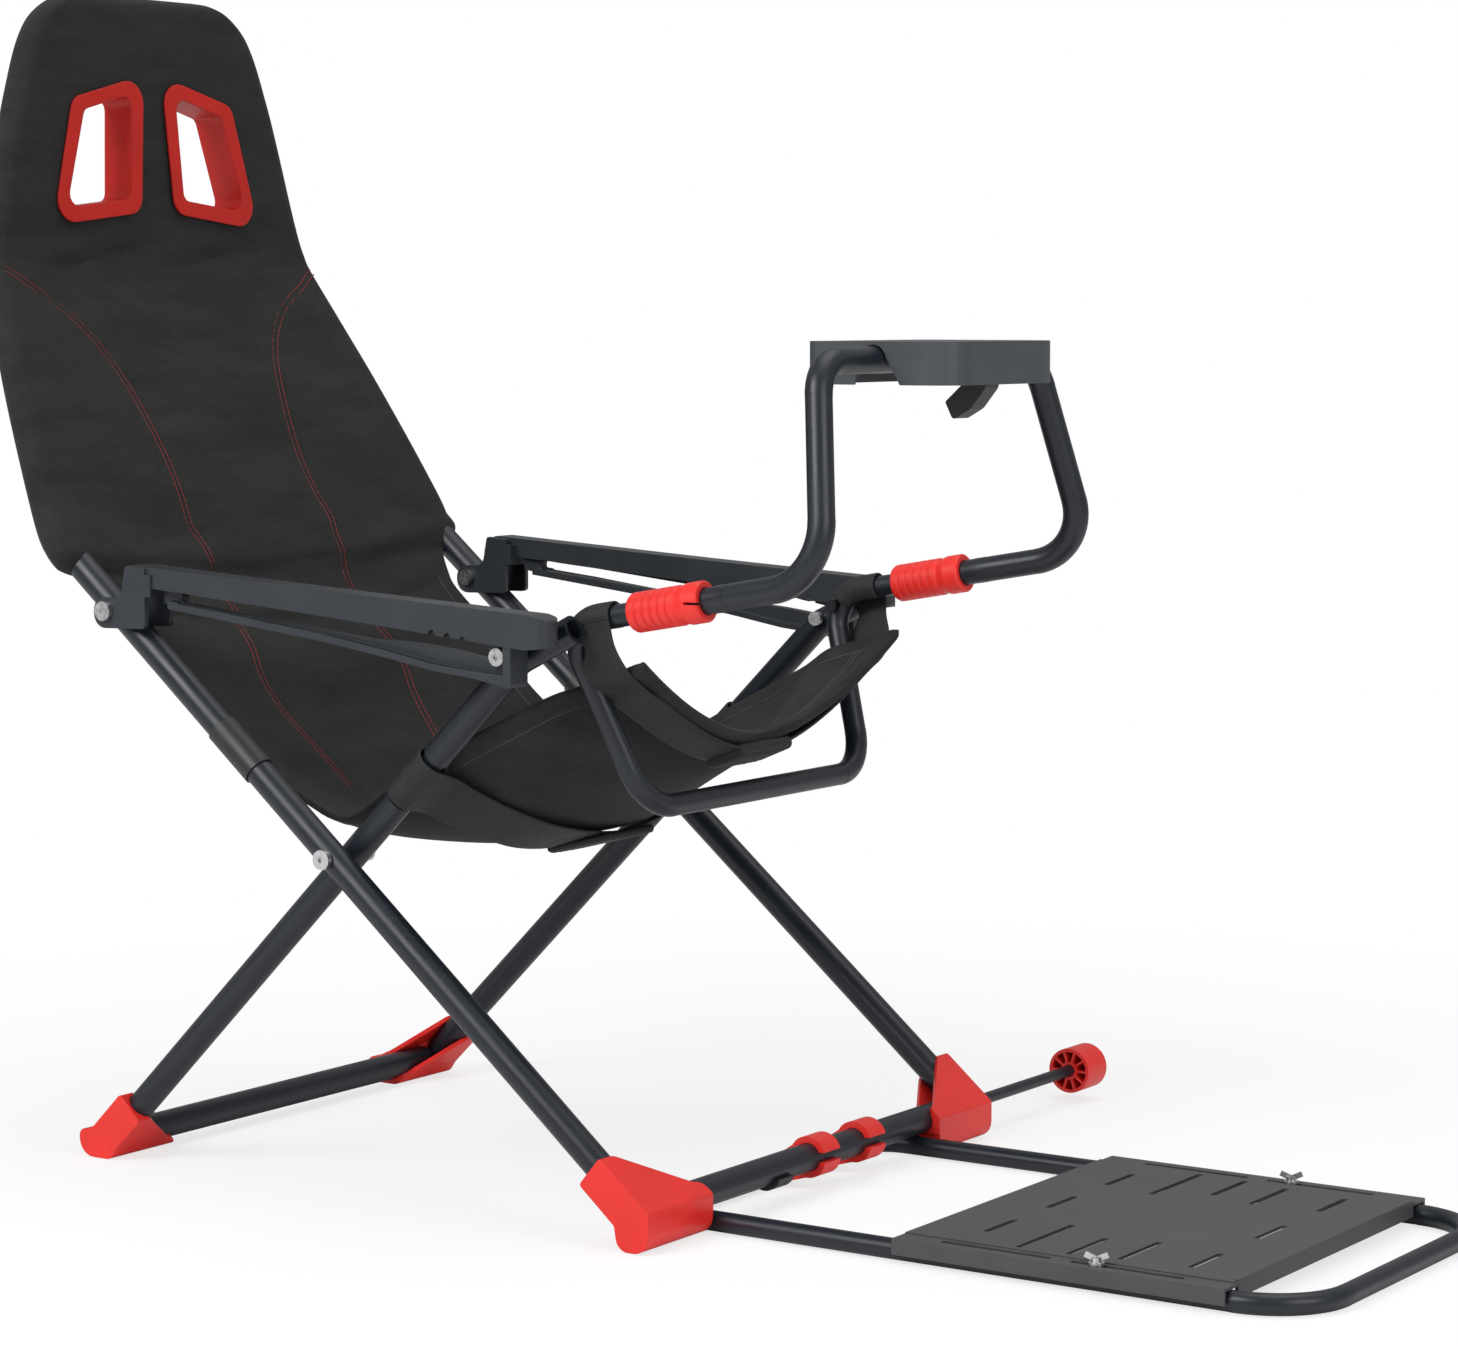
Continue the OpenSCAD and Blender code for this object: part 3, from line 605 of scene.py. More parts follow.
@dataclass
class Section:
    """The cloth's section at one station or many, in millimetres.

    It holds the middle point, the edge point, the half width, the powers of the sag in x and in z, the share
    of the width over which it sags, and half the thickness.
    """

    x_mid: np.ndarray
    z_mid: np.ndarray
    x_edge: np.ndarray
    z_edge: np.ndarray
    half: np.ndarray
    x_power: np.ndarray
    z_power: np.ndarray
    sag: np.ndarray
    thick: np.ndarray

    def inner(self, u: np.ndarray) -> np.ndarray:
        """The share of the sag that is run through at u, 1 from the sag's edge on."""
        return np.minimum(np.abs(u) / self.sag, 1)

    def height(self, u: np.ndarray) -> np.ndarray:
        """z = z_mid + (z_edge - z_mid) inner^z_power."""
        return self.z_mid + (self.z_edge - self.z_mid) * self.inner(u) ** self.z_power

    def at(self, u: np.ndarray) -> np.ndarray:
        """The point (x, u half, z), with x from middle to edge by its own power."""
        x = self.x_mid + (self.x_edge - self.x_mid) * self.inner(u) ** self.x_power
        return np.stack([x, u * self.half, self.height(u)], -1)


@dataclass
class Cloth:
    """The one long cloth from head to front hem: doubled round the backrest tube, single over the seat.

    Its stations are rows of the numbers that a Section holds, from the head down and forward. The seam's
    points are (y, z). A place on the cloth is a station number t and a place across u, from -1 to 1. The
    groove begins over groove_begins, in stations past the seam's top, and ends over groove_ends.
    """

    stations: np.ndarray = field(default_factory=lambda: np.array([
        [-417.5, 983.0, -417.5, 983.0, 74, 2, 2, 0.84, 0.4],
        [-417.5, 981.4, -417.5, 981.4, 91, 2, 2, 0.84, 6.4],
        [-417.4, 976.5, -417.4, 976.5, 107, 2, 2, 0.84, 11.3],
        [-417.2, 968.7, -417.0, 968.7, 121, 2, 2, 0.84, 13.3],
        [-416.8, 958, -416.6, 958, 134, 2, 2, 0.84, 13.6],
        [-416.4, 945, -416.0, 945, 143.5, 2, 2, 0.84, 13.8],
        [-416.0, 928, -415.4, 928, 152, 2, 2, 0.84, 14],
        [-415.4, 903, -414.4, 903, 161.5, 2, 2, 0.84, 14],
        [-414.4, 877, -413.3, 877, 170.5, 2, 2, 0.84, 14],
        [-413.0, 840, -411.7, 840, 181.5, 2, 2, 0.84, 14],
        [-411.6, 800, -410.0, 800, 193, 2, 2, 0.84, 14],
        [-410.5, 772, -408.0, 772, 201, 2, 2, 0.84, 14],
        [-409.0, 755, -405.5, 755, 206, 2, 2, 0.84, 14],
        [-404.0, 738, -399.5, 738, 210, 2, 2, 0.84, 14],
        [-383.5, 692, -375.3, 692, 223, 2, 2, 0.84, 14],
        [-356.5, 640, -348.2, 640, 238, 2, 2, 0.84, 14],
        [-326.5, 582, -318.1, 582, 252, 2, 2, 0.84, 14],
        [-299.0, 532, -292.3, 532, 262, 2, 2, 0.86, 14],
        [-284.0, 508, -281.5, 513, 262.5, 2, 2, 0.9, 14],
        [-271.0, 489, -270.5, 502.5, 262, 2, 2, 0.95, 13],
        [-264.0, 480, -264.0, 496, 252, 2, 2, 1, 8.5],
        [-257.0, 473, -260.0, 489, 235, 2, 2, 1, 4.6],
        [-249.0, 463, -252.0, 481, 224, 2, 2, 1, 2.8],
        [-239.0, 449, -243.0, 467, 219.5, 2, 2, 1, 1.9],
        [-225.0, 431, -233.0, 454, 217.5, 2, 2, 1, 1.7],
        [-192.0, 383, -196.0, 422, 216, 2, 2, 1, 1.7],
        [-150.0, 328, -153.0, 376, 213.5, 2, 2, 1, 1.7],
        [-100.0, 288, -100.0, 337, 209.5, 2, 2.1, 1, 1.7],
        [-60.0, 273, -60.0, 315, 206, 2, 2.2, 1, 1.7],
        [-20.0, 267, -20.0, 303, 203.5, 2, 2.2, 1, 1.7],
        [30.0, 268, 30.0, 334, 203, 2, 2.2, 1, 1.7],
        [72.0, 275, 72.0, 358, 203, 2, 2.2, 1, 1.7],
        [116.0, 290, 116.0, 381, 202.5, 2, 2.1, 1, 1.7],
        [160.0, 312, 160.0, 402, 198, 2, 1.95, 1, 1.7],
        [180.0, 324, 180.0, 412, 189, 2, 1.85, 1, 1.7],
        [194.0, 333, 194.0, 418, 177, 2, 1.8, 1, 1.7],
        [207.0, 342, 208.0, 424, 171, 1.5, 1.76, 1, 1.7],
        [219.0, 350, 223.0, 428.5, 176, 1.2, 1.73, 1, 1.7],
        [229.0, 357, 240.0, 433, 185, 1, 1.72, 1, 1.9],
        [235.0, 361, 250.0, 436, 187, 0.95, 1.72, 1, 4.4],
        [240.5, 364.6, 257.0, 438, 187, 0.9, 1.72, 1, 5.2],
        [244.5, 367.2, 260.5, 439.4, 187, 0.9, 1.72, 1, 4.6],
        [247.0, 368.8, 262.5, 440.4, 186, 0.9, 1.72, 1, 0.5]]))
    seam: np.ndarray = field(default_factory=lambda: np.array([
        [201, 737], [184, 727], [160, 713], [138, 697], [118, 674], [103, 648], [94, 615], [90, 577],
        [90, 545], [93, 516], [88, 492], [83, 468], [86, 436], [95, 402], [90, 374], [84, 350],
        [77, 325], [71, 306]]))
    folds: Tuple[Fold, ...] = (
        Fold(height=2.0, centre=12.6, spread=1.4, across=9.0, along=2.2),
        Fold(height=1.7, centre=15.8, spread=1.9, across=4.4, along=-2.1),
        Fold(height=2.4, centre=25.0, spread=2.2, across=0.0, along=3.9, bow=2.5, fade=6),
        Fold(height=1.8, centre=32.0, spread=2.6, across=6.3, along=1.7, fade=6),
        Fold(height=1.6, centre=20.5, spread=1.2, across=8.0, fade=4))
    seam_stitch: Stitching = Stitching(RED_THREAD, pitch=5.4, rows=(2.8, -2.8))
    side_stitch: Stitching = Stitching(GREY_THREAD, pitch=4.6, rows=(0.0,))
    front_stitch: Stitching = Stitching(GREY_THREAD, pitch=4.6, rows=(0.0, 3.4))
    rows: int = 270
    cols: int = 141
    hem: float = 15.0
    hem_step: float = 3.0
    hem_thick: float = 0.9
    first_hem: float = 22.0
    front_hem: float = 4.15
    hem_fades: Tuple[float, float] = (3.0, 2.0)
    side_hem_end: float = 3.2
    side_hem_points: int = 24
    front_hem_share: float = 0.93
    front_hem_points: int = 30
    thinnest: float = 0.3
    groove: float = 1.1
    groove_flat: float = 3.8
    groove_edge: float = 8.0
    groove_begins: Tuple[float, float] = (0.2, 0.6)
    groove_ends: Tuple[float, float] = (28.0, 28.6)
    seam_stations: Tuple[int, int] = (8, 29)
    seam_samples: int = 2200
    outmost: float = 0.995
    step: float = 2e-3
    bends_from: Tuple[float, float, float] = (-250.0, 0.0, 470.0)
    bends_to: Tuple[float, float, float] = (170.0, 0.0, 330.0)

    @property
    def last(self) -> float:
        """The number of the last station."""
        return len(self.stations) - 1.0

    def section(self, t: np.ndarray) -> Section:
        """The smooth section at each station number, of any shape."""
        return Section(*catmull(self.stations, t.ravel()).T.reshape(-1, *t.shape))

    def seam_line(self, side: Side) -> Tuple[np.ndarray, np.ndarray]:
        """Finds where the curved seam's heights meet the unfolded middle surface.

        Args:
            side: the side of the seat.

        Returns:
            Station numbers and places across, one of each for each seam point.
        """
        t = np.linspace(*self.seam_stations, self.seam_samples)
        row = self.section(t[None])
        y, z = self.seam.T[:, :, None]
        u = y / row.half
        best = np.abs(row.height(u) - z).argmin(1)
        return t[best], u[np.arange(len(best)), best] * side.value

    def relief(self, t: np.ndarray, u: np.ndarray) -> np.ndarray:
        """The sum of the folds, less the groove that the seams pull in.

        Args:
            t: station numbers.
            u: places across.

        Returns:
            Millimetres towards the sitter.
        """
        seam_t, seam_u = self.seam_line(Side.LEFT)
        order = np.argsort(seam_t)
        away = np.abs((np.abs(u) - np.interp(t, seam_t[order], seam_u[order])) * self.section(t).half)
        begun = ramp(t, *(seam_t[0] + place for place in self.groove_begins))
        ended = ramp(t, *self.groove_ends)
        groove = self.groove * (1 - ramp(away, self.groove_flat, self.groove_edge)) * begun * (1 - ended)
        return sum(fold.depth(t, u) for fold in self.folds) - groove

    def face(self, t: np.ndarray, u: np.ndarray) -> np.ndarray:
        """The middle surface: the section's point, moved by the relief along the unfolded surface's normal.

        Args:
            t: station numbers, of any shape.
            u: places across, of the same shape.

        Returns:
            Points in millimetres.
        """
        flat = self.section(t).at(u)
        ahead = self.section(t + self.step).at(u) - flat
        aside = self.section(t).at(u + self.step) - flat
        return flat + unit(np.cross(ahead, aside)) * self.relief(t, u)[..., None]

    def thickness(self, t: np.ndarray, u: np.ndarray) -> np.ndarray:
        """Half the thickness, with the turned hems along the free sides of the seat.

        Args:
            t: station numbers.
            u: places across.

        Returns:
            Millimetres.
        """
        row = self.section(t)
        inside = row.half * (1 - np.abs(u))
        turned = 1 - ramp(inside, self.hem - self.hem_step, self.hem)
        begun = ramp(t, self.first_hem, self.first_hem + 1)
        ended = ramp(t, *(self.last - place for place in self.hem_fades))
        return np.maximum(row.thick, self.thinnest) + self.hem_thick * turned * begun * (1 - ended)

    def shell(self) -> bpy.types.Object:
        """The closed cloth over all stations.

        Returns:
            The cloth.
        """
        down = np.linspace(0, self.last, self.rows)
        t, u = np.meshgrid(down, np.linspace(-1, 1, self.cols), indexing="ij")
        half = self.thickness(t, u)
        width = self.section(t).half
        points, quads, _ = plate(self.face(t, u * (width - half[:, :1]) / width), half)
        return mesh_piece("cloth", points, quads, CLOTH)

    def stitch(self, name: str, t: np.ndarray, u: np.ndarray, stitching: Stitching,
               turned: int = 1) -> bpy.types.Object:
        """Sews along a smooth line through places on the cloth.

        Args:
            name: the piece's name.
            t: the places' station numbers.
            u: their places across.
            stitching: the kind of stitches.
            turned: 1 for the face that is sat on, -1 for the other.

        Returns:
            The stitches as one piece.
        """
        way = catmull(np.stack([t, u], 1), np.linspace(0, len(t) - 1, stitching.samples))
        t, u = way[:, 0], np.clip(way[:, 1], -self.outmost, self.outmost)
        here = self.face(t, u)
        ahead = self.face(t + self.step, u) - here
        aside = self.face(t, u + self.step) - here
        normal = unit(np.cross(ahead, aside)) * turned
        return stitching.sew(name, here + normal * (self.thickness(t, u)[:, None] + stitching.proud), normal)

    def build(self) -> List[bpy.types.Object]:
        """Makes the cloth, its red seams and the grey stitching of its hems.

        Returns:
            The pieces, with the cloth first.
        """
        made = [self.shell()]
        for side in Side:
            where = side.name.lower()
            made.append(self.stitch(f"seam_{where}", *self.seam_line(side), self.seam_stitch))
            t = np.linspace(self.first_hem + 1, self.last - self.side_hem_end, self.side_hem_points)
            u = (1 - (self.hem + 1) / self.section(t).half) * side.value
            made.append(self.stitch(f"side_hem_{where}", t, u, self.side_stitch, side.value))
        u = np.linspace(-self.front_hem_share, self.front_hem_share, self.front_hem_points)
        t = np.full(len(u), self.last - self.front_hem)
        made.append(self.stitch("front_hem_top", t, u, self.front_stitch))
        made.append(self.stitch("front_hem_under", t, u, self.front_stitch, -1))
        return made

    def hang(self, pieces: Sequence[bpy.types.Object]) -> None:
        """Bakes each finished piece's transform into its mesh.

        Args:
            pieces: the cloth and its stitching.
        """
        for piece in pieces:
            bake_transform(piece)


def arcs(points: Sequence[Tuple[float, float]], radii: Sequence[float], count: int = 9) -> np.ndarray:
    """A closed outline whose corners are replaced by quadratic curves tangent to both sides.

    Args:
        points: the corners.
        radii: how round each corner is.
        count: points on each curve.

    Returns:
        The outline's points.
    """
    p = np.array(points, float)
    to, on = np.roll(p, 1, 0) - p, np.roll(p, -1, 0) - p
    half = np.arccos((unit(to) * unit(on)).sum(1)) / 2
    reach = (np.array(radii) / np.tan(half))[:, None]
    a, b = (p + unit(to) * reach)[:, None], (p + unit(on) * reach)[:, None]
    f = np.linspace(0, 1, count)[None, :, None]
    return ((1 - f) ** 2 * a + 2 * f * (1 - f) * p[:, None] + f ** 2 * b).reshape(-1, 2)


@dataclass
class HeadOpenings:
    """The two openings in the head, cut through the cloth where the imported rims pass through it.

    The corners are (y, height up the leaning backrest) from the foot (x, z).
    """

    corners: Sequence[Tuple[float, float]] = ((18.6, 150.4), (98.3, 130.4), (126.5, 30.7), (27.6, 43.6))
    radii: Sequence[float] = (14, 12, 14, 12)
    foot: Tuple[float, float] = (-408.0, 755.0)
    lean: float = math.atan2(9, 213)
    depth: float = 60.0

    def prism(self, side: Side) -> bpy.types.Object:
        """The closed prism that fills one opening, square to the backrest.

        Args:
            side: the side of the seat.

        Returns:
            The cutting tool.
        """
        y, up = arcs(self.corners, self.radii).T
        x = self.foot[0] - up * math.sin(self.lean)
        z = self.foot[1] + up * math.cos(self.lean)
        ring = np.stack([x, y * side.value, z], -1)
        deep = self.depth * np.array([math.cos(self.lean), 0, math.sin(self.lean)])
        ends = [ring.mean(0) - deep, ring.mean(0) + deep]
        n = len(ring)
        c = np.arange(n)
        d = (c + 1) % n
        back, front = np.full(n, 2 * n), np.full(n, 2 * n + 1)
        quads = [np.stack([c, d, d + n, c + n], -1), np.stack([d, c, back, back], -1),
                 np.stack([c + n, d + n, front, front], -1)]
        points = np.concatenate([ring - deep, ring + deep, ends])
        return mesh_piece("cutter", points, np.concatenate(quads), CLOTH, smooth=False)

    def cut(self, cloth: bpy.types.Object) -> None:
        """Takes both prisms out of the cloth.

        Args:
            cloth: the cloth, whose mesh is replaced.
        """
        for side in Side:
            tool = self.prism(side)
            cut = cloth.modifiers.new("cut", "BOOLEAN")
            cut.operation, cut.solver, cut.object = "DIFFERENCE", "EXACT", tool
            bpy.context.view_layer.update()
            whole = cloth.evaluated_get(bpy.context.evaluated_depsgraph_get())
            mesh = bpy.data.meshes.new_from_object(whole)
            cloth.modifiers.clear()
            old, cloth.data = cloth.data, mesh
            bpy.data.meshes.remove(old)
            bpy.data.objects.remove(tool, do_unlink=True)
        cloth.data.materials.clear()
        cloth.data.materials.append(CLOTH.material())


@dataclass(frozen=True)
class Patch:
    """The folded patch sewn over a strap's middle: half its length, width and thickness, and its drop."""

    long: float
    wide: float
    thick: float
    drop: float
    bow: float = 6e-4
    end_power: float = 30.0
    end_thin: float = 0.5
    ripple: float = 0.06
    ripple_rate: float = 0.8
    points: Tuple[int, int] = (25, 9)

    def build(self, name: str, middle: Sequence[float], slope: float) -> bpy.types.Object:
        """Makes the patch: z = middle - drop + slope s + bow y^2, thinner at both ends, slightly rippled.

        Args:
            name: the piece's name.
            middle: the strap's middle point.
            slope: the strap's slope along x.

        Returns:
            The patch.
        """
        x, _, z = middle
        sides = zip((self.long, self.wide), self.points)
        y, s = np.meshgrid(*(np.linspace(-half, half, count) for half, count in sides), indexing="ij")
        grid = np.stack([x + s, y, z - self.drop + s * slope + self.bow * y * y], -1)
        half = self.thick * (1 - np.abs(y / self.long) ** self.end_power * self.end_thin)
        points, quads, across = plate(grid, half * (1 + self.ripple * np.sin(y * self.ripple_rate)))
        uv = np.stack(np.meshgrid(y[:, 0] / MM, across * self.wide / MM, indexing="ij"), -1)
        return mesh_piece(name, points, quads, STRAP, uv.reshape(-1, 2))


@dataclass
class Strap:
    """A flat strap slung between two tubes: a ring round each tube and a hung band between them.

    Sizes are in millimetres, and places are those of the right half: the ring's centre, the direction of
    its tube, its radius and the angles that it runs through, then the band's centres from the tube to the
    middle. The ring follows its tube where that bends by bend_radius towards inward. It does so before
    bend_start, measured along the tube from the ring's centre.
    """

    name: str
    centre: Tuple[float, float, float]
    along: Tuple[float, float, float]
    radius: float
    turn: Tuple[float, float]
    hang: Sequence[Tuple[float, float, float]]
    slope: float
    half_width: float
    hang_width: float
    body: str
    tubes: Sequence[str]
    patch: Patch
    inward: Tuple[float, float, float] = (0.0, 0.0, -1.0)
    bend_radius: float = 1e6
    bend_start: float = -1e3
    half_thick: float = 1.1
    ring_points: int = 26
    columns: int = 11
    finer: int = 4
    first_twist: float = 0.2
    widens: Tuple[float, float] = (60.0, 150.0)
    bend_fades: Tuple[float, float] = (1.0, 26.0)

    def half_path(self) -> Tuple[np.ndarray, np.ndarray]:
        """One half: an arc centre + radius (cos a y + sin a up) about the tube, then the hung points.

        Returns:
            The points and the width direction at each.
        """
        w = unit(np.array(self.along, float))
        up = np.cross([0.0, 1.0, 0.0], w)
        up = -up if up[2] < 0 else up
        a = np.radians(np.linspace(*self.turn, self.ring_points))[:, None]
        ring = np.array(self.centre) + self.radius * (np.cos(a) * np.array([0, 1.0, 0]) + np.sin(a) * up)
        hang = np.array(self.hang, float)
        share = np.linspace(self.first_twist, 1, len(hang))[:, None]
        low = unit(np.array([1, 0, self.slope]))
        widths = np.concatenate([np.tile(w, (self.ring_points, 1)), w * (1 - share) + low * share])
        return np.concatenate([ring, hang]), unit(widths)

    def path(self) -> Tuple[np.ndarray, np.ndarray, np.ndarray]:
        """The whole smooth path: one half and its mirror image.

        Returns:
            The points, the width directions and half the width at each.
        """
        half, width = self.half_path()
        line = np.concatenate([half, half[-2::-1] * (1, -1, 1)])
        table = np.concatenate([line, np.concatenate([width, width[-2::-1]])], 1)
        both = catmull(table, np.linspace(0, len(line) - 1, self.finer * len(line)))
        share = ramp(np.abs(both[:, 1]), *self.widens)
        return both[:, :3], unit(both[:, 3:]), self.hang_width + (self.half_width - self.hang_width) * share

    def round_bend(self, grid: np.ndarray, off: np.ndarray) -> np.ndarray:
        """Moves the ring's columns round the bend of its tube, each swung about the bend's centre.

        Args:
            grid: the straight strap.
            off: how far each of its columns lies along the tube from the ring's centre.

        Returns:
            The bent strap; past the ring the move fades out.
        """
        w, m = (unit(np.array(v, float)) for v in (self.along, self.inward))
        ones = np.ones(len(grid))
        flip = np.stack([ones, -np.sign(grid[:, 0, 1] + TINY), ones], -1)[:, None]
        near = grid * flip - np.array(self.centre)
        turn = (np.clip(self.bend_start - off, 0, self.bend_radius) / self.bend_radius)[..., None]
        depth = (near @ m)[..., None]
        move = self.bend_radius * ((turn - np.sin(turn)) * w + (1 - np.cos(turn)) * m)
        move = move + depth * ((np.cos(turn) - 1) * m + np.sin(turn) * w)
        reach = np.linalg.norm(near - (near @ w)[..., None] * w, axis=-1).min(1) - self.radius
        return grid + move * flip * (1 - ramp(reach, *self.bend_fades))[:, None, None]

    def build(self) -> bpy.types.Object:
        """Makes the strap as one closed sheet, with its patch, hangs both on its body and hides the imported
        strap.

        Returns:
            The strap.
        """
        p, w, half_w = self.path()
        off = np.linspace(-1, 1, self.columns)[None] * half_w[:, None]
        grid = self.round_bend(p[:, None] + off[..., None] * w[:, None], off)
        points, quads, across = plate(grid, np.full(grid.shape[:2], self.half_thick))
        steps = np.linalg.norm(np.diff(p, axis=0), axis=1)
        length = np.concatenate([[0], np.cumsum(steps)]) / MM
        uv = np.stack(np.meshgrid(length, across * self.half_width / MM, indexing="ij"), -1)
        strap = mesh_piece(f"{self.name}_band", points, quads, STRAP, uv.reshape(-1, 2))
        patch = self.patch.build(f"{self.name}_patch", self.hang[-1], self.slope)
        flat = (2 * max(self.half_width, self.hang_width) / MM, float(length[-1]))
        area = float((steps * 2 * half_w[1:]).sum()) / MM ** 2
        for piece in (strap, patch):
            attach(piece, self.body)
        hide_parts(self.name)
        return strap


def rear_strap() -> Strap:
    """The strap under the seat, round the necks of the rear legs.

    Returns:
        The strap.
    """
    lean = math.radians(44.8)
    pivot_height = 276.0
    up_leg = 91.5
    neck = 216.0
    return Strap(
        name="rear_strap", centre=(up_leg * math.cos(lean), -neck, pivot_height + up_leg * math.sin(lean)),
        along=(math.cos(lean), 0.0, math.sin(lean)), radius=13.1, turn=(-405, -118),
        hang=[(68, -192, 325), (72, -170, 314), (78, -130, 297),
              (83, -90, 283), (86, -45, 275), (87, 0, 273)],
        slope=0.26, half_width=22, hang_width=25, body="frame_b", tubes=("leg_b_right", "leg_b_left"),
        patch=Patch(long=36, wide=27, thick=3.4, drop=3))


def front_strap() -> Strap:
    """The strap under the front hem, round the bends of the front frame, just past its knees.

    Returns:
        The strap.
    """
    knee = np.array([192, -192, 467])
    past_knee = 30.0
    socket = unit(np.array([67.5, 0, 12]))
    return Strap(
        name="front_strap", centre=tuple(knee + past_knee * socket), along=tuple(socket), radius=10.9,
        turn=(-410, -158),
        hang=[(224, -198, 449), (231, -192, 431), (236, -176, 415), (236, -150, 402), (236, -110, 381),
              (235, -70, 364), (235, -30, 353), (235, 0, 350)],
        slope=0.42, half_width=18, hang_width=17, body="front", tubes=("front_frame",),
        patch=Patch(long=38, wide=13, thick=5.6, drop=-2),
        inward=(0.17, 0.22, -0.96), bend_radius=28, bend_start=3)


@dataclass
class Hardware:
    """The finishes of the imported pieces."""

    finishes: Dict[str, Finish] = field(default_factory=lambda: {
        "back_hoop": TUBE, "leg_a": TUBE, "leg_b": TUBE, "front_foot": TUBE, "rear_foot": TUBE,
        "front_frame": TUBE, "wheel_support": TUBE, "pedal_loop": TUBE, "wheel_axle": TUBE,
        "arm_right": ARM, "arm_left": ARM, "sleeve": DARK, "plate_lever": DARK, "foot_saddle": DARK,
        "corner": RED, "clamp": RED, "pedal_clips": RED, "side_wheel": RED, "head_trims": RIM_RED,
        "pivot_bolts": STEEL, "arm_rear_bolts": STEEL, "arm_front_bolts": STEEL, "wing_bolts": STEEL,
        "front_hinge_bolts": DARK_BOLT, "wheel_plate": PLATE, "pedal_plate": DECK,
        "back_cloth": CLOTH, "seat_cloth": CLOTH, "rear_strap": STRAP, "front_strap": STRAP})

    def dress(self) -> int:
        """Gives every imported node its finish.

        Returns:
            How many nodes were dressed.
        """
        for name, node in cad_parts.items():
            finish = next(f for key, f in self.finishes.items() if name.startswith(key))
            node.data.materials.clear()
            node.data.materials.append(finish.material())
        return len(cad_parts)


def aimed(name: str, data: bpy.types.ID, place: Sequence[float], way: Vector) -> bpy.types.Object:
    """Puts a camera or a lamp in place, looking one way.

    Args:
        name: the object's name.
        data: the camera or the light.
        place: where it stands, in metres.
        way: the direction that it looks in.

    Returns:
        The object.
    """
    made = bpy.data.objects.new(name, data)
    made.location = place
    made.rotation_mode = "QUATERNION"
    made.rotation_quaternion = way.to_track_quat("-Z", "Y")
    bpy.context.scene.collection.objects.link(made)
    return made


@dataclass(frozen=True)
class Lamp:
    """A square area lamp, in metres and watts."""

    name: str
    place: Tuple[float, float, float]
    aim: Tuple[float, float, float]
    size: float
    power: float

    def build(self) -> None:
        """Makes the lamp."""
        data = bpy.data.lights.new(self.name, "AREA")
        data.size, data.energy = self.size, self.power
        aimed(self.name, data, self.place, Vector(self.aim) - Vector(self.place))


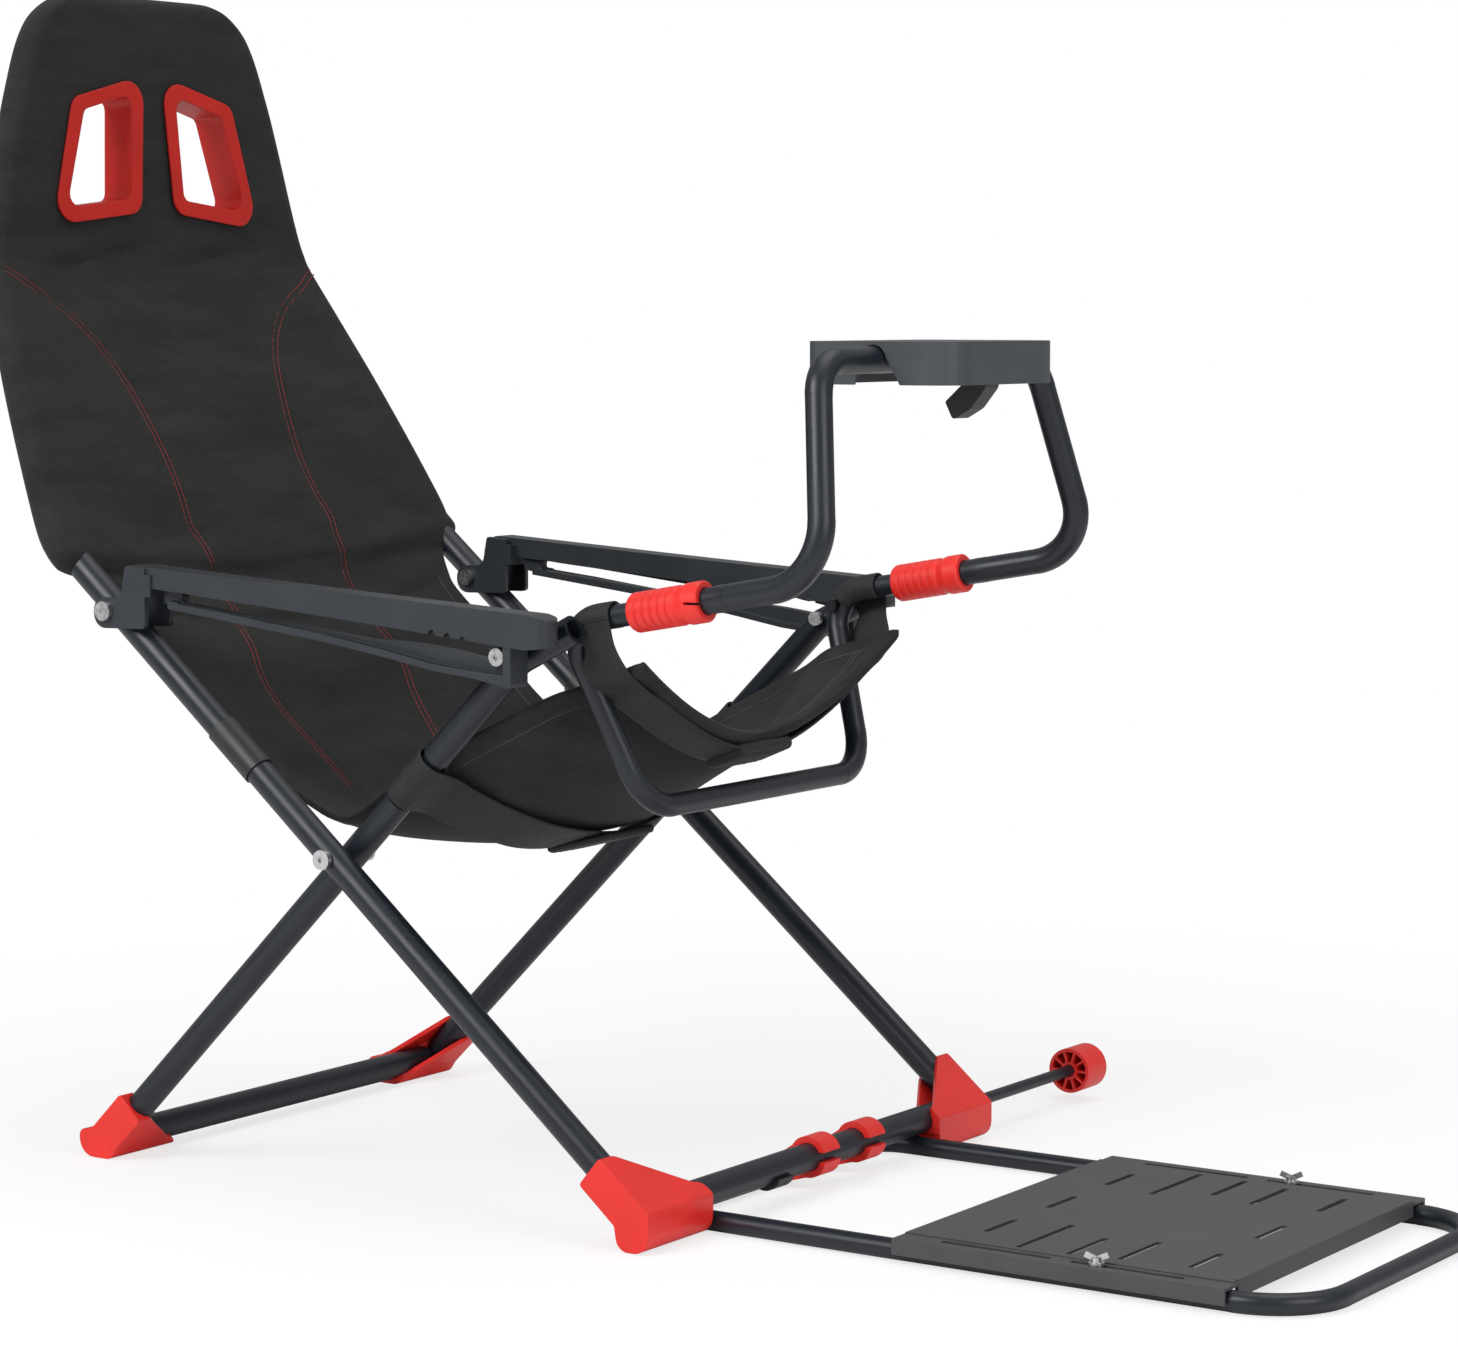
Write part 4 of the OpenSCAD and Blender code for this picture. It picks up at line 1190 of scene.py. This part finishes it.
@dataclass
class Studio:
    """The white floor, the soft light and the camera at the photograph's angle."""

    eye: Tuple[float, float, float] = (1985.0, -2640.8, 711.9)
    yaw: float = 33.83
    pitch: float = 5.33
    lens: float = 97.3
    sensor: float = 36.0
    farthest: float = 60.0
    reach: float = 30.0
    floor_height: float = -0.0006
    white: Tuple[float, float, float] = (1.0, 1.0, 1.0)
    floor_tones: Tuple[Tuple[float, float, float], ...] = ((0.88, 0.88, 0.88), (0.9, 0.9, 0.9))
    white_from: float = 0.55
    white_at: float = 1.3
    least_white: float = 0.72
    floor_patch: float = 0.8
    sky: float = 0.42
    lamps: Tuple[Lamp, ...] = (Lamp("key", (-0.9, -3.0, 2.6), (-0.1, 0.0, 0.45), size=1.8, power=96),
                               Lamp("top", (0.4, 0.6, 3.4), (0.0, 0.0, 0.4), size=2.4, power=34),
                               Lamp("side", (3.2, -1.0, 1.9), (0.1, 0.0, 0.4), size=1.8, power=40))

    def camera(self) -> None:
        """The camera, looking against the vector (sin yaw cos pitch, -cos yaw cos pitch, sin pitch)."""
        data = bpy.data.cameras.new("camera")
        data.lens, data.sensor_width, data.clip_end = self.lens, self.sensor, self.farthest
        a, e = math.radians(self.yaw), math.radians(self.pitch)
        back = Vector((math.sin(a) * math.cos(e), -math.cos(a) * math.cos(e), math.sin(e)))
        bpy.context.scene.camera = aimed("camera", data, row_point(*self.eye), -back)

    def floor(self) -> None:
        """A wide floor just under the feet, white to the camera, with faint shadows near the object."""
        mesh = bpy.data.meshes.new("floor")
        r, z = self.reach, self.floor_height
        mesh.from_pydata([(-r, -r, z), (r, -r, z), (r, r, z), (-r, r, z)], [], [(0, 1, 2, 3)])
        made = bpy.data.objects.new("floor", mesh)
        bpy.context.scene.collection.objects.link(made)
        material = bpy.data.materials.new("floor")
        material.use_nodes = True
        graph = Graph(material.node_tree)
        cloud = graph.between(graph.noise(self.floor_patch, 2.0, 0.5), 0.3, 0.7)
        tone = graph.mixed(cloud, *self.floor_tones)
        matt = graph.node("ShaderNodeBsdfDiffuse", {}, {"Color": tone})
        glow = graph.node("ShaderNodeEmission", {}, {"Color": self.white, "Strength": 1.0})
        away = graph.node("ShaderNodeVectorMath", {"operation": "LENGTH"}, {0: graph.place()}, "Value")
        far = graph.between(away, self.white_from, self.white_at, self.least_white, 1.0)
        seen = graph.node("ShaderNodeLightPath", {}, {}, "Is Camera Ray") * far
        graph.end(graph.node("ShaderNodeMixShader", {}, {0: seen, 1: matt, 2: glow}))
        made.data.materials.append(material)

    def world(self) -> None:
        """An even sky: white where it is seen, softer where it lights."""
        world = bpy.data.worlds.new("world")
        world.use_nodes = True
        graph = Graph(world.node_tree)
        path = graph.node("ShaderNodeLightPath", {}, {}, "Is Camera Ray")
        soft, seen = (graph.node("ShaderNodeBackground", {}, {"Color": self.white, "Strength": strength})
                      for strength in (self.sky, 1.0))
        mix = graph.node("ShaderNodeMixShader", {}, {0: path, 1: soft, 2: seen})
        graph.end(mix, "ShaderNodeOutputWorld")
        bpy.context.scene.world = world

    def build(self) -> None:
        """Makes the whole studio."""
        self.camera()
        self.floor()
        self.world()
        for lamp in self.lamps:
            lamp.build()
        bpy.context.scene.view_settings.view_transform = "Standard"


def main() -> None:
    """Builds the studio, the finishes, the cloth and the straps, in that order."""
    logging.basicConfig(level=logging.INFO, format="%(message)s")
    Studio().build()
    LOG.info("dressed %d packed nodes", Hardware().dress())
    cloth = Cloth()
    pieces = cloth.build()
    HeadOpenings().cut(pieces[0])
    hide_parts("back_cloth", "seat_cloth")
    cloth.hang(pieces)
    pieces += [rear_strap().build(), front_strap().build()]
    for piece in pieces:
        LOG.info("%s: %d faces", piece.name, len(piece.data.polygons))
    bpy.context.view_layer.update()


if __name__ == "__main__":
    main()
